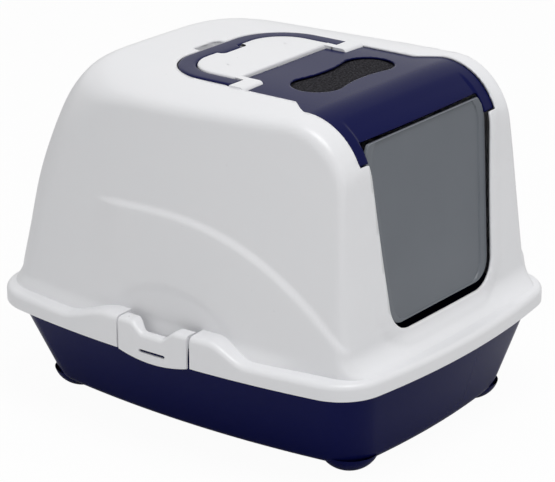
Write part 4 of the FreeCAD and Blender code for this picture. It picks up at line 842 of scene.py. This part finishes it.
def latch_plate(side):
    """Latch section carried along the rim: plate, round top edge, shelf, higher at both ends, bowed below."""
    along = np.linspace(-LATCH_HALF + LATCH_GAP, LATCH_HALF - LATCH_GAP, 100)
    y = (along + LATCH_Y)[:, None]
    face = RIM_HALF - SIDE_BOW + np.sqrt(SIDE_BOW ** 2 - y * y) + LATCH_PROUD
    ear = smooth(EAR_START, EAR_END, np.abs(along))[:, None]
    top = LATCH_DIP + (CHEEK_TOP - LATCH_DIP) * ear
    low = LATCH_FOOT - LATCH_BOW * (1.0 - (along[:, None] / LATCH_HALF) ** 2)
    deep = LATCH_DEEP + EAR_DEEP * ear
    turn = np.linspace(math.pi / 2.0, 0.0, 8)
    round_in, round_up = LATCH_ROUND * (1.0 - np.cos(turn)), LATCH_ROUND * (1.0 - np.sin(turn))
    high = np.linspace(115.0, 105.5, 18)
    inset = [deep, deep] + [r + 0.0 * y for r in round_in] + [0.0 * y] * (len(high) + 1)
    inset += [0.6 + 0.0 * y, 2.2 + 0.0 * y] + [LATCH_WALL + 0.0 * y] * (len(high) + 1) + [5.0 + 0.0 * y]
    height = [top - LATCH_SHELF, top] + [top - r for r in round_up] + [h + 0.0 * y for h in high]
    height += [low + 0.7, low, low] + [low + 0.7] + [h + 0.0 * y for h in high[::-1]] + [top - 3.2]
    inset, height = np.concatenate(inset, axis=1), np.concatenate(height, axis=1)
    p = np.stack([side * (face - inset), y + 0.0 * inset, height], axis=-1)[:, ::side]
    points, faces = clipped(p, True, slot_hole, level_of)
    n = p.shape[1] + 1
    last = (len(along) - 1) * n
    ends = [list(range(n - 2, -1, -1)), list(range(last, last + n - 1))]
    spin = np.linspace(0.0, 2.0 * math.pi, 48, endpoint=False)
    rim_y = LATCH_Y + SLOT_HALF * np.sign(np.cos(spin)) + SLOT_TALL / 2.0 * np.cos(spin)
    rim_z = SLOT_Z + SLOT_TALL / 2.0 * np.sin(spin)
    rim_x = RIM_HALF - SIDE_BOW + np.sqrt(SIDE_BOW ** 2 - rim_y * rim_y) + LATCH_PROUD
    wall, wall_faces = sheet_of(np.stack([np.stack([side * (rim_x - d), rim_y, rim_z], axis=-1)[::side]
                                          for d in (0.0, LATCH_WALL)]), True)
    return [(points, faces + ends), (wall, wall_faces)]


for word, side in (("left", -1), ("right", 1)):
    node = "latch_" + word
    piece("clip_" + word, latch_plate(side), "clip_" + word, [node], WHITE)


def foam_block():
    """Foam as nested rounded rectangles: flat below, bulging up into the window."""
    def curve(inset):
        return tile_curve(FOAM_HALF, FOAM_DEEP, FOAM_CORNER, WINDOW_Y, inset)

    grid = list(stacked([(curve(inset), z) for inset, z in FOAM_SIDE]))
    for inset in np.linspace(1.0, FOAM_SIDE[0][0], 32):
        ring = curve(inset)
        bulge = FOAM_BULGE * smooth(0.5, 6.0, -window_field(ring[:, 0], ring[:, 1]))
        grid.append(np.concatenate([ring, (FOAM_TOP + bulge)[:, None]], axis=-1))
    return sheet_of(np.stack(grid), True)


foam = piece("filter_foam", [foam_block()], "front_lid", ["filter_pad"], FOAM)

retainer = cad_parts["filter_retainer"].data
retainer.materials.clear()
retainer.materials.append(NAVY_SATIN)


def aimed(item, way):
    """Turns a lamp or camera to look along a direction."""
    item.rotation_mode = "QUATERNION"
    item.rotation_quaternion = Vector([float(v) for v in way]).to_track_quat("-Z", "Y")
    bpy.context.scene.collection.objects.link(item)


def pale_floor():
    """White floor that keeps the shadow and shows brighter to the camera."""
    f = Finish(bpy.data.materials.new("pale_floor"))
    f.set(Base_Color=(0.9, 0.9, 0.9, 1.0), Roughness=0.8)
    seen = f.node("ShaderNodeLightPath", {})
    glow = f.node("ShaderNodeEmission", {}, Color=(1.0, 1.0, 1.0, 1.0), Strength=1.0)
    lit = Socket(f, f.first("BSDF_PRINCIPLED").outputs[0])
    both = f.node("ShaderNodeMixShader", {}, seen * FLOOR_GLOW, lit, glow)
    f.tree.links.new(both.link, f.first("OUTPUT_MATERIAL").inputs[0])
    return f.owner


def studio_world():
    """Even grey studio that camera and gloss see as white."""
    f = Finish(bpy.data.worlds.new("studio"))
    sky = f.first("BACKGROUND")
    f.fill(sky, {0: (1.0, 1.0, 1.0, 1.0), 1: SKY_LEVEL})
    white = f.node("ShaderNodeBackground", {}, (1.0, 1.0, 1.0, 1.0))
    seen, gloss = f.node("ShaderNodeLightPath", {}), f.node("ShaderNodeLightPath", {}, out="Is Glossy Ray")
    either = seen.math("MAXIMUM", seen, gloss)
    both = f.node("ShaderNodeMixShader", {}, either, Socket(f, sky.outputs[0]), white)
    f.tree.links.new(both.link, f.first("OUTPUT_WORLD").inputs[0])
    return f.owner


def stage():
    """Floor, world light, a soft overhead lamp, a weak fill and the camera at the photo's angle."""
    mesh = bpy.data.meshes.new("floor")
    r = FLOOR_REACH
    mesh.from_pydata([(-r, -r, 0), (r, -r, 0), (r, r, 0), (-r, r, 0)], [], [(0, 1, 2, 3)])
    mesh.materials.append(pale_floor())
    floor = bpy.data.objects.new("floor", mesh)
    bpy.context.scene.collection.objects.link(floor)
    bpy.context.scene.world = studio_world()
    for name, place, size, power in LAMPS:
        data = bpy.data.lights.new(name, "AREA")
        data.shape = "DISK"
        data.size = size
        data.energy = power
        lamp = bpy.data.objects.new(name, data)
        lamp.location = place
        aimed(lamp, np.array(LAMP_AIM) - place)
    turn, lift = math.radians(CAMERA_TURN), math.radians(CAMERA_LIFT)
    back = np.array([math.sin(turn) * math.cos(lift), -math.cos(turn) * math.cos(lift), math.sin(lift)])
    data = bpy.data.cameras.new("camera")
    data.sensor_width = CAMERA_SENSOR
    data.lens = CAMERA_LENS
    data.clip_end = 100.0
    camera = bpy.data.objects.new("camera", data)
    camera.location = np.array(CAMERA_AIM) + back * CAMERA_FAR
    aimed(camera, -back)
    bpy.context.scene.camera = camera
    bpy.context.scene.view_settings.view_transform = "Standard"


stage()
